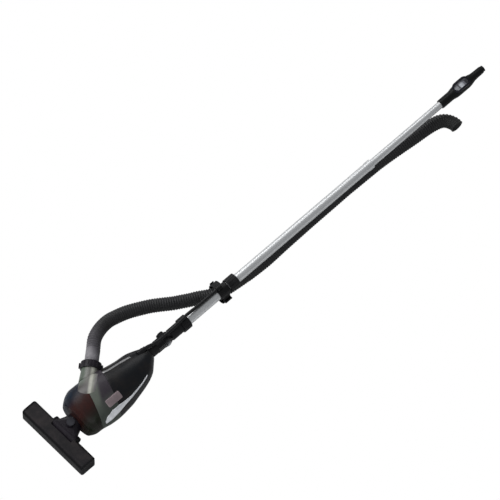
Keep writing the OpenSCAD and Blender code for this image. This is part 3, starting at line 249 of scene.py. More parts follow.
class Finish:
    """One material, built from expressions."""

    def __init__(self, name):
        self.material = bpy.data.materials.new(name)
        self.material.use_nodes = True
        self.tree = self.material.node_tree
        self.tree.nodes.clear()
        self.out = self.tree.nodes.new("ShaderNodeOutputMaterial")
        self.surface = self.tree.nodes.new("ShaderNodeBsdfPrincipled")
        self.tree.links.new(self.surface.outputs[0], self.out.inputs["Surface"])

    def add(self, kind, settings=None, inputs=None, output=0):
        """A node: its settings first, then the values or links of its sockets."""
        node = self.tree.nodes.new(kind)
        for key, value in (settings or {}).items():
            setattr(node, key, value)
        for key, value in (inputs or {}).items():
            self.feed(node.inputs[key], value)
        return Value(self, node.outputs[output])

    def feed(self, socket, value):
        """Links a value to a socket, or sets a constant on it."""
        if isinstance(value, Value):
            self.tree.links.new(value.socket, socket)
        elif socket.type == "RGBA":
            socket.default_value = (*value, 1)
        else:
            socket.default_value = value

    def place(self):
        """The place on the piece, in metres."""
        return self.add("ShaderNodeTexCoord", output="Object")

    def coordinate(self, axis):
        """The place on the piece along X, Y or Z, in millimetres."""
        return self.add("ShaderNodeSeparateXYZ", inputs={"Vector": self.place()}, output=axis) * (1 / MM)

    def stretched(self, scale):
        return self.add("ShaderNodeMapping", inputs={"Vector": self.place(), "Scale": scale})

    def noise(self, scale, detail=3.0, roughness=0.5, where=None):
        return self.add("ShaderNodeTexNoise", inputs={
            "Vector": where or self.place(), "Scale": scale, "Detail": detail, "Roughness": roughness})

    def mix(self, a, b, factor):
        """The colour between a and b."""
        return self.add("ShaderNodeMix", {"data_type": "RGBA"}, {0: factor, 6: a, 7: b}, 2)

    def band(self, value, low, high):
        """0 below low, 1 above high, smooth between."""
        return self.add("ShaderNodeMapRange", {"interpolation_type": "SMOOTHSTEP"},
                        {"Value": value, "From Min": low, "From Max": high})

    def toned(self, colour, value, tones):
        """A colour that turns to each tone in turn, between the two marks that stand with the tone."""
        for tone, start, full in tones:
            colour = self.mix(colour, tone, self.band(value, start, full))
        return colour

    def wear(self, scale, low, high, detail=4.0, roughness=0.6):
        """Cloudy patches where a surface is worn or dusty."""
        return self.band(self.noise(scale, detail, roughness), low, high)

    def grain(self, scale, strength, depth):
        """Fine grain of a moulded surface; depth is in metres."""
        return self.add("ShaderNodeBump", inputs={
            "Height": self.noise(scale, 2.0), "Strength": strength, "Distance": depth})

    def set(self, **values):
        for key, value in values.items():
            self.feed(self.surface.inputs[key.replace("_", " ")], value)
        return self


def moulded(name, colour, paler, roughness, gloss=0.35):
    """Injection-moulded plastic: fine spark-eroded grain, faint wear in its tone."""
    finish = Finish(name)
    wear = finish.wear(26.0, 0.35, 0.75)
    return finish.set(Base_Color=finish.mix(colour, paler, wear), Roughness=roughness - 0.05 + wear * 0.12,
                      Specular_IOR_Level=gloss, Normal=finish.grain(1400.0, 0.35, 0.00006))


def metal(name, colour, roughness, along, scale, metallic=1.0):
    """Drawn or turned metal with fine lines along one way."""
    finish = Finish(name)
    lines = finish.noise(scale, 4.0, 0.65, finish.stretched(along))
    relief = finish.add("ShaderNodeBump", inputs={"Height": lines, "Strength": 0.22, "Distance": 0.00003})
    return finish.set(Base_Color=finish.mix(colour, [0.86 * c for c in colour], finish.noise(12.0)),
                      Metallic=metallic, Roughness=roughness - 0.06 + lines * 0.14, Normal=relief)


def rubber(name, colour, paler, roughness=0.62):
    """Matt rubber with a little dust."""
    finish = Finish(name)
    dust = finish.wear(34.0, 0.42, 0.8, 5.0, 0.62)
    return finish.set(Base_Color=finish.mix(colour, paler, dust), Roughness=roughness - 0.04 + dust * 0.1,
                      Specular_IOR_Level=0.3, Normal=finish.grain(900.0, 0.3, 0.00005))


sole_black = moulded("sole_black", (0.012, 0.012, 0.014), (0.020, 0.020, 0.022), 0.6)
neck_black = moulded("neck_black", (0.010, 0.008, 0.012), (0.018, 0.014, 0.021), 0.46, 0.2)
button_grey = moulded("button_grey", (0.030, 0.030, 0.038), (0.045, 0.045, 0.055), 0.38)
coupling_black = moulded("coupling_black", (0.010, 0.010, 0.011), (0.018, 0.018, 0.019), 0.46, 0.18)
clip_black = moulded("clip_black", (0.004, 0.004, 0.0045), (0.007, 0.007, 0.008), 0.5, 0.22)
grip_black = moulded("grip_black", (0.003, 0.0035, 0.0035), (0.006, 0.007, 0.007), 0.46, 0.22)
bezel_dark = moulded("bezel_dark", (0.005, 0.005, 0.010), (0.010, 0.010, 0.017), 0.42, 0.2)
inner_grey = moulded("inner_grey", (0.07, 0.07, 0.08), (0.10, 0.10, 0.11), 0.5)
nylon_white = moulded("nylon_white", (0.60, 0.60, 0.57), (0.66, 0.66, 0.63), 0.45, 0.5)
lip_rubber = rubber("lip_rubber", (0.006, 0.006, 0.007), (0.014, 0.014, 0.015))
cable_black = rubber("cable_black", (0.005, 0.005, 0.006), (0.010, 0.010, 0.011), 0.5)
screw_steel = metal("screw_steel", (0.45, 0.46, 0.48), 0.32, (1, 1, 1), 300.0)
spring_steel = metal("spring_steel", (0.50, 0.51, 0.53), 0.3, (1, 1, 8), 200.0)
tube_silver = metal("tube_silver", (0.78, 0.79, 0.80), 0.42, (0.03, 1, 1), 420.0, 0.85)
can_steel = metal("can_steel", (0.40, 0.41, 0.42), 0.35, (0.05, 1, 1), 200.0)
iron_core = metal("iron_core", (0.24, 0.21, 0.18), 0.5, (12, 0.2, 0.2), 160.0)
copper_winding = metal("copper_winding", (0.42, 0.16, 0.07), 0.38, (0.2, 8, 8), 140.0)


def rocker_finish():
    """Pale rocker with painted light: a painted highlight on its middle ridge, its front end grey and painted
    shade on its rear end, as if that end were pressed down.
    """
    finish = Finish("rocker_grey")
    # Painted light along the rocker: grey front end, a thin dark line, a painted highlight over the ridge,
    # grey behind it, painted shade on the rear end.
    tone = finish.toned((0.26, 0.27, 0.29), finish.coordinate("X") - ROCKER.x, (
        ((0.08, 0.08, 0.09), -12.5, -10.0),
        ((0.50, 0.52, 0.56), -8.5, -5.0),
        ((0.16, 0.16, 0.19), 3.0, 7.5),
        ((0.008, 0.008, 0.014), 10.0, 13.5)))
    # Darker towards +Y across the rocker.
    tone = finish.mix(tone, (0.05, 0.05, 0.06), finish.band(finish.coordinate("Y"), 1.0, 7.0))
    return finish.set(Base_Color=tone, Roughness=0.34, Normal=finish.grain(1400.0, 0.2, 0.00004))


def nozzle_finish():
    """Matt black of the nozzle: scuffed on top, with painted shade darkening it towards its rims."""
    finish = Finish("nozzle_black")
    along, across = finish.coordinate("X"), finish.coordinate("Y")
    low, high = node_box("nozzle_shell")
    rear = 24.0
    side_fade, side_dark = 7.5, 2.5
    end_fade, end_dark = 9.0, 3.5
    # Painted shade: the top turns darker towards each rim of the nozzle.
    edge = finish.band(along, low.x + side_fade, low.x + side_dark)
    edge = edge.at_least(finish.band(along, rear - side_fade, rear - side_dark))
    edge = edge.at_least(finish.band(across, high.y - end_fade, high.y - end_dark))
    edge = edge.at_least(finish.band(across, low.y + end_fade, low.y + end_dark))
    wear = finish.wear(26.0, 0.35, 0.75)
    body = finish.mix((0.017, 0.016, 0.018), (0.033, 0.028, 0.029), wear)
    # The rims' painted shade colour is mixed in here.
    return finish.set(Base_Color=finish.mix(body, (0.004, 0.004, 0.005), edge),
                      Roughness=0.45 + wear * 0.12, Specular_IOR_Level=0.14,
                      Normal=finish.grain(1400.0, 0.35, 0.00006))


def cover_finish():
    """Smoked clear plastic of the front chamber: blue-black, greenish towards -Y and warm in the middle, with
    a painted blue reflection on its hose side.
    """
    finish = Finish("smoked_cover")
    murk = finish.wear(34.0, 0.36, 0.68, 3.0, 0.55)
    # Tones across the cover: greenish towards -Y, warm in the middle, and a painted blue reflection towards
    # +Y.
    tone = finish.toned((0.009, 0.012, 0.006), finish.coordinate("Y"), (
        ((0.040, 0.012, 0.010), -50.0, -18.0),
        ((0.003, 0.011, 0.026), 6.0, 38.0)))
    return finish.set(Base_Color=finish.mix(tone, (0.016, 0.010, 0.010), murk * 0.5),
                      Roughness=0.32 + murk * 0.1, Specular_IOR_Level=0.14, Alpha=0.95,
                      Coat_Weight=0.05, Coat_Roughness=0.2, Normal=finish.grain(120.0, 0.08, 0.0002))


def band_finish():
    """Grey moulding of the pump's band, with a painted highlight on its hose side and painted shade behind
    the outlet.
    """
    finish = Finish("band_grey")
    along, across = finish.coordinate("X"), finish.coordinate("Y")
    # Painted highlight: the band turns paler towards its hose side (+Y).
    painted_highlight = finish.band(across, -60.0, -20.0)
    # Painted shade behind the outlet, on the paler hose side.
    behind = finish.band(along - across * 0.55, 134.0, 150.0)
    wear = finish.wear(40.0, 0.3, 0.75)
    body = finish.mix((0.050, 0.062, 0.052), (0.110, 0.125, 0.105), painted_highlight)
    body = finish.mix(body, (0.028, 0.022, 0.031), behind * painted_highlight)
    return finish.set(Base_Color=finish.mix(body, (0.05, 0.045, 0.045), wear * 0.3),
                      Roughness=0.36 + wear * 0.12, Specular_IOR_Level=0.3,
                      Normal=finish.grain(1200.0, 0.3, 0.00005))


def outlet_finish():
    """Paler grey of the outlet, with a painted highlight streak along one flank, painted shade on the other
    flank and painted shade low on that flank towards the foot.
    """
    finish = Finish("outlet_grey")
    along, across = finish.coordinate("X") - OUTLET.x, finish.coordinate("Y") - OUTLET.y
    side = across * outlet_way.x - along * outlet_way.y
    depth = across * outlet_way.y + along * outlet_way.x
    # Painted light across the outlet: pale, then a painted highlight streak, then grey, then painted shade in
    # a darker green-grey on the other flank.
    body = finish.toned((0.13, 0.12, 0.125), side, (
        ((0.23, 0.235, 0.20), -22.0, -14.0),
        ((0.46, 0.46, 0.40), -15.0, -10.0),
        ((0.15, 0.15, 0.135), -6.0, -1.0),
        ((0.085, 0.115, 0.085), 4.0, 18.0)))
    # Painted shade low on the other flank, towards the outlet's foot.
    shade = finish.band(depth, -56.0, -82.0) * finish.band(side, -10.0, 4.0)
    body = finish.mix(body, (0.060, 0.052, 0.052), shade * 0.95)
    wear = finish.wear(50.0, 0.3, 0.75)
    return finish.set(Base_Color=finish.mix(body, (0.12, 0.115, 0.11), wear * 0.35),
                      Roughness=0.34 + wear * 0.12, Normal=finish.grain(1200.0, 0.3, 0.00005))


def shell_finish():
    """Satin gloss of the rear shells."""
    finish = Finish("shell_black")
    wear = finish.wear(22.0, 0.38, 0.72)
    return finish.set(Base_Color=finish.mix((0.003, 0.004, 0.006), (0.010, 0.008, 0.008), wear),
                      Roughness=0.30 + wear * 0.1, Specular_IOR_Level=0.22, Coat_Weight=0.1,
                      Coat_Roughness=0.2, Normal=finish.grain(1300.0, 0.2, 0.00004))


def silver_foil(name, colour, roughness, metallic=0.55):
    """Hot-foiled silver, slightly uneven."""
    finish = Finish(name)
    uneven = finish.noise(60.0, 4.0, 0.6)
    return finish.set(Base_Color=finish.mix(colour, [0.8 * c for c in colour], finish.band(uneven, 0.3, 0.7)),
                      Metallic=metallic, Roughness=roughness + uneven * 0.08,
                      Normal=finish.grain(500.0, 0.15, 0.00004))


def hose_finish():
    """Flexible hose: dusty, with a paler cuff at its start and a paler tail."""
    finish = Finish("hose_grey")
    dust = finish.wear(60.0, 0.42, 0.8, 5.0, 0.65)
    body = finish.toned((0.26, 0.25, 0.27), finish.coordinate("X"), (
        ((0.085, 0.080, 0.090), 202.0, 232.0),
        ((0.020, 0.020, 0.021), 222.0, 300.0),
        ((0.034, 0.035, 0.034), 1330.0, 1372.0)))
    return finish.set(Base_Color=finish.mix(body, (0.040, 0.038, 0.043), dust * 0.35),
                      Roughness=0.46 + dust * 0.14, Specular_IOR_Level=0.25,
                      Normal=finish.grain(700.0, 0.25, 0.00006))


rocker_grey = rocker_finish()
nozzle_black = nozzle_finish()
smoked_cover = cover_finish()
band_grey = band_finish()
outlet_grey = outlet_finish()
shell_black = shell_finish()
flash_silver = silver_foil("flash_silver", (0.90, 0.92, 0.96), 0.30, 0.2)
trim_silver = silver_foil("trim_silver", (0.30, 0.30, 0.305), 0.42)
label_foil = silver_foil("label_foil", (0.34, 0.27, 0.285), 0.42)
hose_grey = hose_finish()


# ---------- camera ----------

scene = bpy.context.scene
CAMERA_AZIMUTH = math.radians(-43.5)
CAMERA_HEIGHT = math.radians(64.0)
LENS = 600.0
SENSOR = 36.0
FRAME_WIDTH = 1.313
AIM = Vector((0.7278, 0.0446, 0.0404))
CLIP_NEAR, CLIP_FAR = 0.2, 4.0  # shares of the camera's distance


def make_camera():
    """Long lens, high over the part and to the side of its pole."""
    data = bpy.data.cameras.new("camera")
    data.lens = LENS
    data.sensor_width = SENSOR
    distance = FRAME_WIDTH * LENS / SENSOR
    data.clip_start = distance * CLIP_NEAR
    data.clip_end = distance * CLIP_FAR
    camera = bpy.data.objects.new("camera", data)
    scene.collection.objects.link(camera)
    back = Vector((math.sin(CAMERA_AZIMUTH) * math.cos(CAMERA_HEIGHT),
                   -math.cos(CAMERA_AZIMUTH) * math.cos(CAMERA_HEIGHT),
                   math.sin(CAMERA_HEIGHT)))
    camera.location = AIM + back * distance
    camera.rotation_mode = "QUATERNION"
    camera.rotation_quaternion = (-back).to_track_quat("-Z", "Y")
    scene.camera = camera


make_camera()


# ---------- hose and cables ----------

NUT_LEN = 20.0
HOSE_OFF_NUT = 1.5
HOSE_R = 19.0
HOSE_WALL = 1.5
HOSE_SIDES = 28
CUFF_LEN = 38.0
BORE_SHOWN = 40.0
RIB_DEPTH = 1.5
RIB_PITCH = 6.6
# One rib: shares of the pitch, and how far it has sunk there, as a share of the ribs' depth.
RIB_SHAPE = ((0.0, 0.0), (0.14, 0.06), (0.27, 0.5), (0.38, 0.94), (0.5, 1.0), (0.62, 0.94),
             (0.73, 0.5), (0.86, 0.06))
CABLE_R = 4.5
CABLE_SIDES = 20
CABLE_RINGS = 110

hose_start = OUTLET + outlet_way * (NUT_LEN / 2 + HOSE_OFF_NUT)
LOOP_ROUTE = [hose_start, hose_start + outlet_way * (CUFF_LEN / 2), hose_start + outlet_way * CUFF_LEN,
              (246, 127, 63), (266, 137, 60), (290, 144.5, 53), (316, 148, 45), (342, 145.5, 37),
              (368, 140, 31), (390, 132, 27), (410, 123, 24), (430, 113, 22), (448, 101.5, 21),
              (465, 89.5, 20.5), (482, 77.5, 20), (500, 66.5, 20), (519, 55, 20), (539, 43.5, 21),
              (556, 32, 22), (570, 23.5, 22.8), (586, 17.5, 23), (600, 14.5, 23), (614, 12, 23),
              (632, 9.5, 23), (650, 7.5, 23)]
RUN_ROUTE = [(650.3, 7.5, 23), (669, 5.5, 23), (688, 4, 22.2), (730, 2.5, 20.8), (760, 3, 19.5),
             (794, 4.5, 19), (834, 5.5, 19), (874, 6.3, 19), (914, 7, 19), (994, 7.5, 19),
             (1034, 8, 19), (1074, 7.2, 19), (1114, 6.5, 19), (1154, 5.5, 19), (1194, 2.5, 19),
             (1234, -1.5, 19), (1274, -6, 19), (1314, -9.5, 19), (1340, -13.5, 19), (1360, -19.5, 19),
             (1373, -29.5, 19), (1380.5, -42, 19), (1383, -52, 19), (1383, -61, 19)]
CABLE_ROUTE = [(312, 9.5, 88), (325, 8.3, 88), (338, 4.5, 88), (352, 1.8, 88), (379, 1, 87.6),
               (410, 1, 88), (428, 1.5, 89.3), (447, 3, 89.6), (464, 4.4, 89.2), (480, 5, 86.5),
               (498, 5, 84), (516, 5, 83.2), (546, 5, 83.2), (571, 5, 83.2)]


def ribbed_hose(name, route, cuff, open_end):
    """Hose with a plain cuff and a rounded rib at every pitch; an open end shows the wall and the bore."""
    line = Line(route)
    ribs = math.floor((line.length - cuff) / RIB_PITCH)
    pitch = (line.length - cuff) / ribs
    rows = []
    if cuff:
        for place, drop in ((0, 0.6), (0.8, 0.0), (cuff * 0.5, 0.0), (cuff - 1, 0.0)):
            rows.append(line.ring(place, HOSE_R - drop, HOSE_SIDES))
    for k in range(ribs):
        for place, drop in RIB_SHAPE:
            rows.append(line.ring(cuff + (k + place) * pitch, HOSE_R - RIB_DEPTH * drop, HOSE_SIDES))
    rows.append(line.ring(line.length, HOSE_R, HOSE_SIDES))
    if open_end:
        bore = HOSE_R - RIB_DEPTH - HOSE_WALL
        rows.append(line.ring(line.length, bore, HOSE_SIDES))
        rows.append(line.ring(line.length - BORE_SHOWN, bore, HOSE_SIDES))
    points, faces = grid(rows, True)
    return make_piece(name, points, faces, hose_grey), line.path(160), line.length * MM


loop_piece, loop_path, loop_length = ribbed_hose("discharge_hose_loop", LOOP_ROUTE, CUFF_LEN, False)
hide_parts("hose_loop")
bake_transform(loop_piece)

run_piece, run_path, run_length = ribbed_hose("discharge_hose_run", RUN_ROUTE, 0, True)
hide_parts("hose_run")
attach(run_piece, "lower_pole")


def power_lead():
    """Cable from the head's gland to the clip."""
    line = Line(CABLE_ROUTE)
    rows = [line.ring(line.length * i / CABLE_RINGS, CABLE_R, CABLE_SIDES)
            for i in range(CABLE_RINGS + 1)]
    points, faces = capped_grid(rows)
    return make_piece("power_lead", points, faces, cable_black), line.path(60), line.length * MM


lead_piece, lead_path, lead_length = power_lead()
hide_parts("power_cable")
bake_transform(lead_piece)

COIL_RADIUS = 3.6
COIL_WIRE = 1.6
COIL_PITCH = 8.0
COIL_STEPS = 12
COIL_SIDES = 6
lead_low, lead_high = node_box("coiled_lead")
COIL_START = lead_low.x + 8.0
COIL_SPLIT = 760.0
COIL_END = lead_high.x - 11.0


def coiled_part(name, x0, x1):
    """Part of the coiled lead inside the pole; it stretches between two tubes."""
    turns = round((x1 - x0) / COIL_PITCH)
    rows = []
    for i in range(turns * COIL_STEPS + 1):
        share = i / (turns * COIL_STEPS)
        a = 2 * math.pi * i / COIL_STEPS
        out = Vector((0, math.cos(a), math.sin(a)))
        centre = Vector((x0 + (x1 - x0) * share, 0, AXIS_Z)) + out * COIL_RADIUS
        rows.append([centre + (out * math.cos(b) + Vector((math.sin(b), 0, 0))) * COIL_WIRE
                     for b in (2 * math.pi * j / COIL_SIDES for j in range(COIL_SIDES))])
    points, faces = grid(rows, True)
    piece = make_piece(name, points, faces, cable_black)
    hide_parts("coiled_lead")
    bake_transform(piece)


coiled_part("coiled_lead_lower", COIL_START, COIL_SPLIT)
coiled_part("coiled_lead_upper", COIL_SPLIT, COIL_END)


# ---------- head ----------

HEAD_X = INLET.x
HEAD_LEN = node_box("body_upper")[1].x - HEAD_X
HEAD_W = 140.0
HEAD_H = 112.0
# Each ring of the head, from front to tip: its place as a share of the length; how far its middle lies
# aside and its half width, as shares of HEAD_W; how far its middle lies below the pole's axis and its
# half height, as shares of HEAD_H.
HEAD_RINGS = [(0, -0.039, 0.372, 0.143, 0.366), (0.03, -0.04, 0.419, 0.107, 0.402),
              (0.076, -0.032, 0.461, 0.08, 0.4375), (0.129, -0.021, 0.48, 0.0625, 0.469),
              (0.182, -0.032, 0.488, 0.054, 0.487), (0.242, -0.047, 0.497, 0.049, 0.5),
              (0.318, -0.057, 0.5, 0.049, 0.5), (0.402, -0.066, 0.487, 0.049, 0.496),
              (0.47, -0.074, 0.466, 0.049, 0.487), (0.545, -0.085, 0.438, 0.049, 0.469),
              (0.659, -0.084, 0.393, 0.04, 0.424), (0.799, -0.065, 0.345, 0.027, 0.348),
              (0.886, -0.055, 0.283, 0.013, 0.281), (0.951, -0.03, 0.204, 0.004, 0.223),
              (1, -0.008, 0.139, 0, 0.174)]
POWER = 2 / 2.2  # rounds the rings' section a little more squarely than an ellipse
LEAN = math.tan(math.radians(18))
COVER_LEN = 56.0
BAND_LEN = 62.0
BAND_X = HEAD_X + COVER_LEN
REAR_X = BAND_X + BAND_LEN
GAP = 0.3
SHELL = 3.0
EDGE = ((0.0, -SHELL), (0.0, -0.8), (0.25, -0.25), (0.8, 0.0))  # rolled edge: distance in, height
SIDES = 96
ANGLES = [2 * math.pi * i / SIDES for i in range(SIDES)]
SPLIT_ROUNDS = 12
PARTING_ROUNDS = 6


def slopes(column):
    """Slopes of a smooth curve through the rings that never overshoots them."""
    xs = [r[0] for r in HEAD_RINGS]
    ys = [r[column] for r in HEAD_RINGS]
    steps = [(ys[i + 1] - ys[i]) / (xs[i + 1] - xs[i]) for i in range(len(xs) - 1)]
    result = [steps[0]]
    for a, b in zip(steps, steps[1:]):
        result.append(0.0 if a * b <= 0 else 2 * a * b / (a + b))
    result.append(steps[-1])
    return result


SLOPES = [None] + [slopes(k) for k in range(1, 5)]


def ring_value(u, column):
    """A column of HEAD_RINGS at any share of the length."""
    u = min(max(u, 0.0), 1.0)
    i = 0
    while i < len(HEAD_RINGS) - 2 and u > HEAD_RINGS[i + 1][0]:
        i += 1
    x0, x1 = HEAD_RINGS[i][0], HEAD_RINGS[i + 1][0]
    y0, y1 = HEAD_RINGS[i][column], HEAD_RINGS[i + 1][column]
    h = x1 - x0
    t = (u - x0) / h
    return ((1 + 2 * t) * (1 - t) ** 2 * y0 + t * (1 - t) ** 2 * h * SLOPES[column][i]
            + t * t * (3 - 2 * t) * y1 + t * t * (t - 1) * h * SLOPES[column][i + 1])


def powered(v, p):
    """A power that keeps the sign."""
    return math.copysign(abs(v) ** p, v)


def head_point(u, t, g=0.0):
    """Point on the head: u from its front to its tip, t round it from the hose's side over the top."""
    w = HEAD_W * ring_value(u, 2) + g
    h = HEAD_H * ring_value(u, 4) + g
    return Vector((HEAD_X + u * HEAD_LEN,
                   HEAD_W * ring_value(u, 1) + w * powered(math.cos(t), POWER),
                   AXIS_Z - HEAD_H * ring_value(u, 3) + h * powered(math.sin(t), POWER)))


def u_on_plane(x, t):
    """Where the leaning split that crosses the pole's axis at x meets the head at t."""
    u = (x - HEAD_X) / HEAD_LEN
    for _ in range(SPLIT_ROUNDS):
        u = (x + LEAN * head_point(u, t).y - HEAD_X) / HEAD_LEN
    return u


def t_at_height(u, z):
    """Angle on the hose's side where the head is at height z."""
    v = (z - AXIS_Z + HEAD_H * ring_value(u, 3)) / (HEAD_H * ring_value(u, 4))
    return math.asin(min(max(powered(v, 1 / POWER), -1), 1))


def t_at_side(u, y):
    """Angle over the top where the head is at y."""
    v = (y - HEAD_W * ring_value(u, 1)) / (HEAD_W * ring_value(u, 2))
    return math.acos(min(max(powered(v, 1 / POWER), -1), 1))


def cut_with(piece, cutter, operation="DIFFERENCE"):
    """Applies a boolean and removes the cutter."""
    change = piece.modifiers.new("cut", "BOOLEAN")
    change.object = cutter
    change.operation = operation
    change.solver = "EXACT"
    bpy.context.view_layer.update()
    result = bpy.data.meshes.new_from_object(piece.evaluated_get(bpy.context.evaluated_depsgraph_get()))
    piece.modifiers.clear()
    piece.data = result
    bpy.data.objects.remove(cutter)


INLET_R = 20.0
INLET_DEEP = 6.0
COVER_ROWS = 44


def front_cover():
    """Smoked cover from the inlet's face to the leaning split."""
    end_at = {t: u_on_plane(BAND_X, t) for t in ANGLES}
    rows = []
    for share, back in ((0.0, INLET_DEEP), (0.0, 0.0), (0.12, 0.0), (0.97, 0.0)):
        row = []
        for t in ANGLES:
            hole = Vector((HEAD_X, INLET_R * math.cos(t), INLET.z + INLET_R * math.sin(t)))
            point = hole.lerp(head_point(0.0, t), share)
            point.x += back
            row.append(point)
        rows.append(row)
    for k in range(COVER_ROWS + 1):
        short = EDGE[-1][0] / HEAD_LEN if k == COVER_ROWS else 0
        rows.append([head_point(end_at[t] * k / COVER_ROWS - short, t) for t in ANGLES])
    for mark, drop in EDGE[2::-1]:
        rows.append([head_point(end_at[t] - mark / HEAD_LEN, t, drop) for t in ANGLES])
    points, faces = grid(rows, True)
    piece = make_piece("front_cover", points, faces, smoked_cover)
    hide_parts("front_chamber")
    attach(piece, "head")


LUG_R = 32.0
RECESS = -NUT_LEN / 2 - 2 * GAP
NUT_ROOM = 60.0
NEAR_AXIS = 0.01
BAND_ROWS = 26


def nut_space(name):
    """The room that the union nut and its lugs turn in."""
    radius = LUG_R + 2 * GAP
    return turned(name, [(RECESS, NEAR_AXIS), (RECESS, radius), (NUT_ROOM, radius), (NUT_ROOM, NEAR_AXIS)],
                  band_grey)


def band_row(share, inset, drop):
    """Ring of the band: a share of the way between its splits, plus a distance further back."""
    row = []
    for t in ANGLES:
        front, rear = u_on_plane(BAND_X + GAP, t), u_on_plane(REAR_X, t)
        row.append(head_point(front + (rear - front) * share + inset / HEAD_LEN, t, drop))
    return row


def band_shell():
    """Grey band of the pump housing between the two leaning splits."""
    rows = [band_row(0.0, mark, drop) for mark, drop in EDGE]
    rows += [band_row(k / BAND_ROWS, 0.0, 0.0) for k in range(1, BAND_ROWS)]
    rows += [band_row(1.0, -mark, drop) for mark, drop in reversed(EDGE)]
    inner = [[head_point((p.x - HEAD_X) / HEAD_LEN, t, -SHELL) for p, t in zip(row, ANGLES)]
             for row in rows]
    points, faces = looped_grid(rows + inner[::-1][1:-1])
    piece = make_piece("pump_band", points, faces, band_grey)
    cut_with(piece, nut_space("nut_room_a"))
    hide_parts("pump_housing")
    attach(piece, "head")


front_cover()
band_shell()


SHELL_COLUMNS = 64
SHELL_ROWS = 64
LIP = ((0.0, -0.9), (0.004, -0.3), (0.012, 0.0))  # rolled parting edge: share of the way round, height


def shell_half(name, node, low, high):
    """Rear shell between two parting angles given at each u, with its wall."""
    middle = [(k / SHELL_COLUMNS, 0.0) for k in range(1, SHELL_COLUMNS)]
    round_it = [*LIP, *middle, *((1 - m, d) for m, d in LIP[::-1])]
    along = [(0.0, m / HEAD_LEN, d) for m, d in EDGE[1:]]
    along += [(k / SHELL_ROWS, 0.0, 0.0) for k in range(1, SHELL_ROWS + 1)]
    rows = []
    for part, inset, drop in along:
        outer, inner = [], []
        for share, side_drop in round_it:
            t = low(0.5) + (high(0.5) - low(0.5)) * share
            for _ in range(PARTING_ROUNDS):
                start = u_on_plane(REAR_X + GAP, t)
                u = start + (1 - start) * part + inset
                t = low(u) + (high(u) - low(u)) * share
            outer.append(head_point(u, t, min(drop, side_drop)))
            inner.append(head_point(u, t, -SHELL))
        rows.append(outer + inner[::-1])
    points, faces = grid(rows, True)
    wide = len(round_it)
    ring = 2 * wide
    for first in (0, (len(rows) - 1) * ring):
        for i in range(wide - 1):
            faces.append((first + i, first + i + 1, first + ring - 2 - i, first + ring - 1 - i))
    piece = make_piece(name, points, faces, shell_black)
    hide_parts(node)
    return piece


STEM_R = 16.2


def tip_cap():
    """Flat end of the head round the stem."""
    outer = [head_point(1.0, t, -SHELL / 2) for t in ANGLES]
    stem = [Vector((HEAD_X + HEAD_LEN, STEM_R * math.cos(t), AXIS_Z + STEM_R * math.sin(t))) for t in ANGLES]
    rows = [[a.lerp(b, share) for a, b in zip(outer, stem)] for share in (0.0, 0.5, 1.0)]
    points, faces = grid(rows, True)
    piece = make_piece("tip_ring", points, faces, shell_black)
    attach(piece, "head")


def parting(u):
    """Angle of the shells' parting on the hose's side, level with the pole's axis."""
    return t_at_height(u, AXIS_Z)


upper_shell = shell_half("rear_shell_upper", "body_upper", parting, lambda u: math.pi - parting(u))
lower_shell = shell_half("rear_shell_lower", "body_lower", lambda u: math.pi - parting(u),
                         lambda u: 2 * math.pi + parting(u))
tip_cap()
for shell in (upper_shell, lower_shell):
    cut_with(shell, nut_space("nut_room_b"))
    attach(shell, "head")


SKID_START = REAR_X + 9
SKID_END = REAR_X + 74
SKID_TOP = AXIS_Z - 24
SKID_W = 5.0
SKID_NOSE = 2.0
SKID_EDGE = 0.7
SKID_APART = 44.0


def skid_rib(name, y):
    """Skid rib under the rear shell."""
    outline = [(SKID_START, SKID_NOSE), (SKID_START + SKID_NOSE, 0.0), (SKID_END - SKID_NOSE, 0.0),
               (SKID_END, SKID_NOSE), (SKID_END, SKID_TOP), (SKID_START, SKID_TOP)]
    rows = [[Vector((x, y + side, z)) for x, z in outline] for side in (-SKID_W / 2, SKID_W / 2)]
    points, faces = capped_grid(rows)
    piece = make_piece(name, points, faces, shell_black, smooth=False)
    edge = piece.modifiers.new("edge", "BEVEL")
    edge.width = SKID_EDGE * MM
    edge.segments = 2
    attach(piece, "head")


skid_rib("skid_rib_left", PUMP.y - SKID_APART / 2)
skid_rib("skid_rib_right", PUMP.y + SKID_APART / 2)

OUTLET_BORE = 16.0
OUTLET_R = 24.0
CUP_R = LUG_R + 2 * GAP
CUP_WALL = 2.9
CUP_END = 14.0
CUP_SUNK = 0.6
CUP_ROWS = 40


def outlet_pipe():
    """Slanted outlet of the pump housing with its flared foot and the cup that holds the nut."""
    profile = [(-50, OUTLET_BORE), (-50, 27), (-40, 26.2), (-30, 25.6), (-22, 25.0), (-16, 24.5),
               (1.5, 24.5), (2, OUTLET_R), (2, OUTLET_BORE)]
    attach(turned("outlet_pipe", profile, outlet_grey), "head")
    back = RECESS - SHELL
    profile = [(back, OUTLET_R), (back, CUP_R + CUP_WALL), (CUP_END, CUP_R + CUP_WALL), (CUP_END, CUP_R),
               (RECESS, CUP_R), (RECESS, OUTLET_R)]
    cup = turned("nut_cup", profile, band_grey)
    rows = [[head_point(k / CUP_ROWS, t, -CUP_SUNK) for t in ANGLES] for k in range(CUP_ROWS + 1)]
    points, faces = capped_grid(rows)
    cut_with(cup, make_piece("head_solid", points, faces, band_grey), "INTERSECT")
    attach(cup, "head")


outlet_pipe()


FOOT = 0.1
FOIL_HEIGHT = 1.3
LABEL_HEIGHT = 0.9


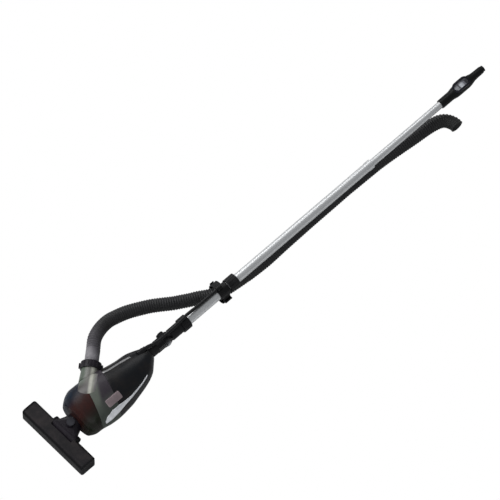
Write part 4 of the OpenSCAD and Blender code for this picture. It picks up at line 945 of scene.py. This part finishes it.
def patch(name, node, finish, columns, place_at, height=FOIL_HEIGHT):
    """Raised patch on the head: place_at(share, side) gives u and t; side goes from 0 to 1 across it."""
    across = ((0.0, FOOT), (0.0, height * 0.7), (0.06, height), (0.3, height), (0.5, height), (0.7, height),
              (0.94, height), (1.0, height * 0.7), (1.0, FOOT))
    rows = []
    for k in range(columns + 1):
        top = FOOT if k in (0, columns) else height
        rows.append([head_point(*place_at(k / columns, side), min(g, top)) for side, g in across])
    points, faces = grid(rows, False)
    piece = make_piece(name, points, faces, finish)
    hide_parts(node)
    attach(piece, "head")


def lookup(x, table):
    """A value read between the rows of a table."""
    for (x0, y0), (x1, y1) in zip(table, table[1:]):
        if x <= x1:
            return y0 + (y1 - y0) * (x - x0) / (x1 - x0)
    return table[-1][1]


FAIRING_START = -34.0
FAIRING_END = -100.0
FAIRING_HALF = 23.5
FAIRING_SWELL = 1.2
FAIRING_TAIL = 0.72  # share of its length where it starts to close
FAIRING_ROWS = 34
FAIRING_COLUMNS = 24


def outlet_fairing():
    """Low swelling of the pump housing that leads into the outlet."""
    across_way = Vector((-outlet_way.y, outlet_way.x, 0))
    rows = []
    for k in range(FAIRING_ROWS + 1):
        share = k / FAIRING_ROWS
        s = FAIRING_START + (FAIRING_END - FAIRING_START) * share
        tail = max(0.0, share - FAIRING_TAIL) / (1 - FAIRING_TAIL)
        half = FAIRING_HALF * math.sqrt(max(1 - tail ** 2.6, 0.0))
        row = []
        for j in range(FAIRING_COLUMNS + 1):
            side = -1 + 2 * j / FAIRING_COLUMNS
            place = OUTLET + outlet_way * s + across_way * (half * side)
            u = (place.x - HEAD_X) / HEAD_LEN
            swell = FAIRING_SWELL * math.sqrt(max(0.0, 1 - side * side)) * max(0.0, 1 - tail ** 2)
            row.append(head_point(u, t_at_side(u, place.y), FOOT + swell))
        rows.append(row)
    points, faces = grid(rows, False)
    piece = make_piece("outlet_fairing", points, faces, outlet_grey)
    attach(piece, "head")


outlet_fairing()

# The trim's middle: x, y.
TRIM_LINE = [(REAR_X + 8, 28), (REAR_X + 24, 23.5), (REAR_X + 64, 19.5), (REAR_X + 94, 14.5)]
TRIM_W = 6.0


def trim_place(share, side):
    """Place on the light strip along the hose's side."""
    x = TRIM_LINE[0][0] + (TRIM_LINE[-1][0] - TRIM_LINE[0][0]) * share
    u = (x - HEAD_X) / HEAD_LEN
    return u, t_at_side(u, lookup(x, TRIM_LINE) + TRIM_W * (0.5 - side))


patch("side_trim", "trim_strip", trim_silver, 30, trim_place)

# The flash's lower and upper edge: distance behind the rear split, height.
FLASH_LOW = [(-74, 66), (-36, 77), (-4, 82.5), (24, 83), (64, 82.3), (96, 82.6)]
FLASH_HIGH = [(-74, 74), (-64, 87), (-44, 94), (-20, 94.5), (-4, 92), (24, 88.5), (64, 85.8), (96, 84.8)]


FLASH_START = -73.0
FLASH_END = 95.0


def flash_place(share, side):
    """Place on the broad silver flash along the other side."""
    x = FLASH_START + (FLASH_END - FLASH_START) * share
    low, high = lookup(x, FLASH_LOW), lookup(x, FLASH_HIGH)
    u = (REAR_X + x - HEAD_X) / HEAD_LEN
    z = low + (high - low) * side
    return u, math.pi - t_at_height(u, z)


patch("side_flash_foil", "side_flash", flash_silver, 60, flash_place)

label_low, label_high = node_box("label_plate")
LABEL_SIZE = label_high - label_low
LABEL_CORNER = 3.0


def label_place(share, side):
    """Place on the bare label, which has round corners."""
    reach = abs(share - 0.5) * LABEL_SIZE.x
    corner = max(0.0, reach - (LABEL_SIZE.x / 2 - LABEL_CORNER)) / LABEL_CORNER
    half = LABEL_SIZE.y / 2 - LABEL_CORNER * (1 - math.sqrt(max(0.0, 1 - corner * corner)))
    u = (label_low.x + LABEL_SIZE.x * share - HEAD_X) / HEAD_LEN
    return u, t_at_side(u, (label_low.y + label_high.y) / 2 + half * (1 - 2 * side))


patch("bare_label", "label_plate", label_foil, 40, label_place, LABEL_HEIGHT)


# ---------- finishes of the CAD pieces ----------

WELD = 1e-6
SOFT_ANGLE = math.radians(32)


def smooth_by_angle():
    """Node group that shades a piece soft where its faces meet at a small angle."""
    group = bpy.data.node_groups.new("soft_edges", "GeometryNodeTree")
    group.interface.new_socket("Geometry", in_out="INPUT", socket_type="NodeSocketGeometry")
    group.interface.new_socket("Geometry", in_out="OUTPUT", socket_type="NodeSocketGeometry")
    start = group.nodes.new("NodeGroupInput")
    weld = group.nodes.new("GeometryNodeMergeByDistance")
    weld.inputs["Distance"].default_value = WELD
    faces = group.nodes.new("GeometryNodeSetShadeSmooth")
    faces.domain = "FACE"
    faces.inputs["Shade Smooth"].default_value = True
    edges = group.nodes.new("GeometryNodeSetShadeSmooth")
    edges.domain = "EDGE"
    angle = group.nodes.new("GeometryNodeInputMeshEdgeAngle")
    less = group.nodes.new("FunctionNodeCompare")
    less.data_type = "FLOAT"
    less.operation = "LESS_EQUAL"
    less.inputs[1].default_value = SOFT_ANGLE
    end = group.nodes.new("NodeGroupOutput")
    link = group.links.new
    link(start.outputs[0], weld.inputs["Geometry"])
    link(weld.outputs[0], faces.inputs["Geometry"])
    link(faces.outputs[0], edges.inputs["Geometry"])
    link(angle.outputs["Unsigned Angle"], less.inputs[0])
    link(less.outputs[0], edges.inputs["Shade Smooth"])
    link(edges.outputs[0], end.inputs[0])
    return group


soft_edges = smooth_by_angle()
CAD_FINISHES = {
    nozzle_black: ["nozzle_shell"],
    sole_black: ["sole_plate"],
    lip_rubber: ["lip_strips", "neck_o_rings", "shaft_seal", "outlet_washer"],
    screw_steel: ["sole_screws", "tilt_pins", "body_screws", "hinge_bolt", "hinge_washers", "jaw_pin",
                  "handle_screws", "motor_shaft", "bearings"],
    neck_black: ["neck_duct", "union_nut"],
    button_grey: ["release_button"],
    spring_steel: ["button_spring"],
    inner_grey: ["strainer", "eye_plate", "hose_tail", "switch_block"],
    nylon_white: ["impeller", "collet", "middle_glide", "upper_glide"],
    iron_core: ["rotor"],
    copper_winding: ["stator"],
    can_steel: ["motor_can"],
    coupling_black: ["rear_yoke", "cable_gland", "hinge_tongue", "hinge_knob", "socket_nut",
                     "lock_collar"],
    clip_black: ["clip_saddle", "clip_jaw"],
    tube_silver: ["lower_tube", "middle_tube", "upper_tube", "end_bush"],
    grip_black: ["handle_top", "handle_bottom", "flex_gland"],
    bezel_dark: ["switch_bezel"],
    rocker_grey: ["rocker"],
}
for finish, names in CAD_FINISHES.items():
    for name in names:
        piece = nodes[name]
        piece.data.materials.clear()
        piece.data.materials.append(finish.material)
        piece.modifiers.new("soft_edges", "NODES").node_group = soft_edges


# ---------- floor and light ----------

FLOOR_REACH = 60000.0
FLOOR_DROP = 0.4


def make_floor():
    """White floor that is plain white to the camera and lights the piece from below."""
    centre = (cad_low + cad_high) / (2 * MM)
    points = [(centre.x + sx * FLOOR_REACH, centre.y + sy * FLOOR_REACH, -FLOOR_DROP)
              for sx, sy in ((-1, -1), (1, -1), (1, 1), (-1, 1))]
    finish = Finish("floor_white")
    finish.set(Base_Color=(0.8, 0.8, 0.8), Roughness=0.9, Specular_IOR_Level=0.0)
    lit = Value(finish, finish.surface.outputs[0])
    plain = finish.add("ShaderNodeEmission", inputs={"Color": (1, 1, 1), "Strength": 1.0})
    seen = finish.add("ShaderNodeLightPath", output="Is Camera Ray")
    both = finish.add("ShaderNodeMixShader", inputs={0: seen, 1: lit, 2: plain})
    finish.feed(finish.out.inputs["Surface"], both)
    make_piece("floor", points, [(0, 1, 2, 3)], finish)


make_floor()

world = bpy.data.worlds.new("room")
scene.world = world
world.use_nodes = True
sky = world.node_tree.nodes["Background"]
sky.inputs["Color"].default_value = (0.96, 0.98, 1.0, 1)
sky.inputs["Strength"].default_value = 0.32


def soft_light(name, place, aim, size, power):
    """Oblong lamp at a place in metres that faces its aim."""
    data = bpy.data.lights.new(name, "AREA")
    data.shape = "RECTANGLE"
    data.size, data.size_y = size
    data.energy = power
    lamp = bpy.data.objects.new(name, data)
    scene.collection.objects.link(lamp)
    lamp.location = place
    lamp.rotation_mode = "QUATERNION"
    lamp.rotation_quaternion = (Vector(place) - Vector(aim)).to_track_quat("Z", "Y")


soft_light("key", (0.0, 2.3, 2.0), (0.6, 0.0, 0.0), (3.2, 1.6), 62)
soft_light("fill", (-1.4, -1.6, 1.6), (0.6, 0.0, 0.0), (2.2, 1.4), 14)
soft_light("far", (2.1, 1.3, 1.8), (1.25, 0.0, 0.0), (1.1, 0.9), 6)

scene.view_settings.view_transform = "Standard"
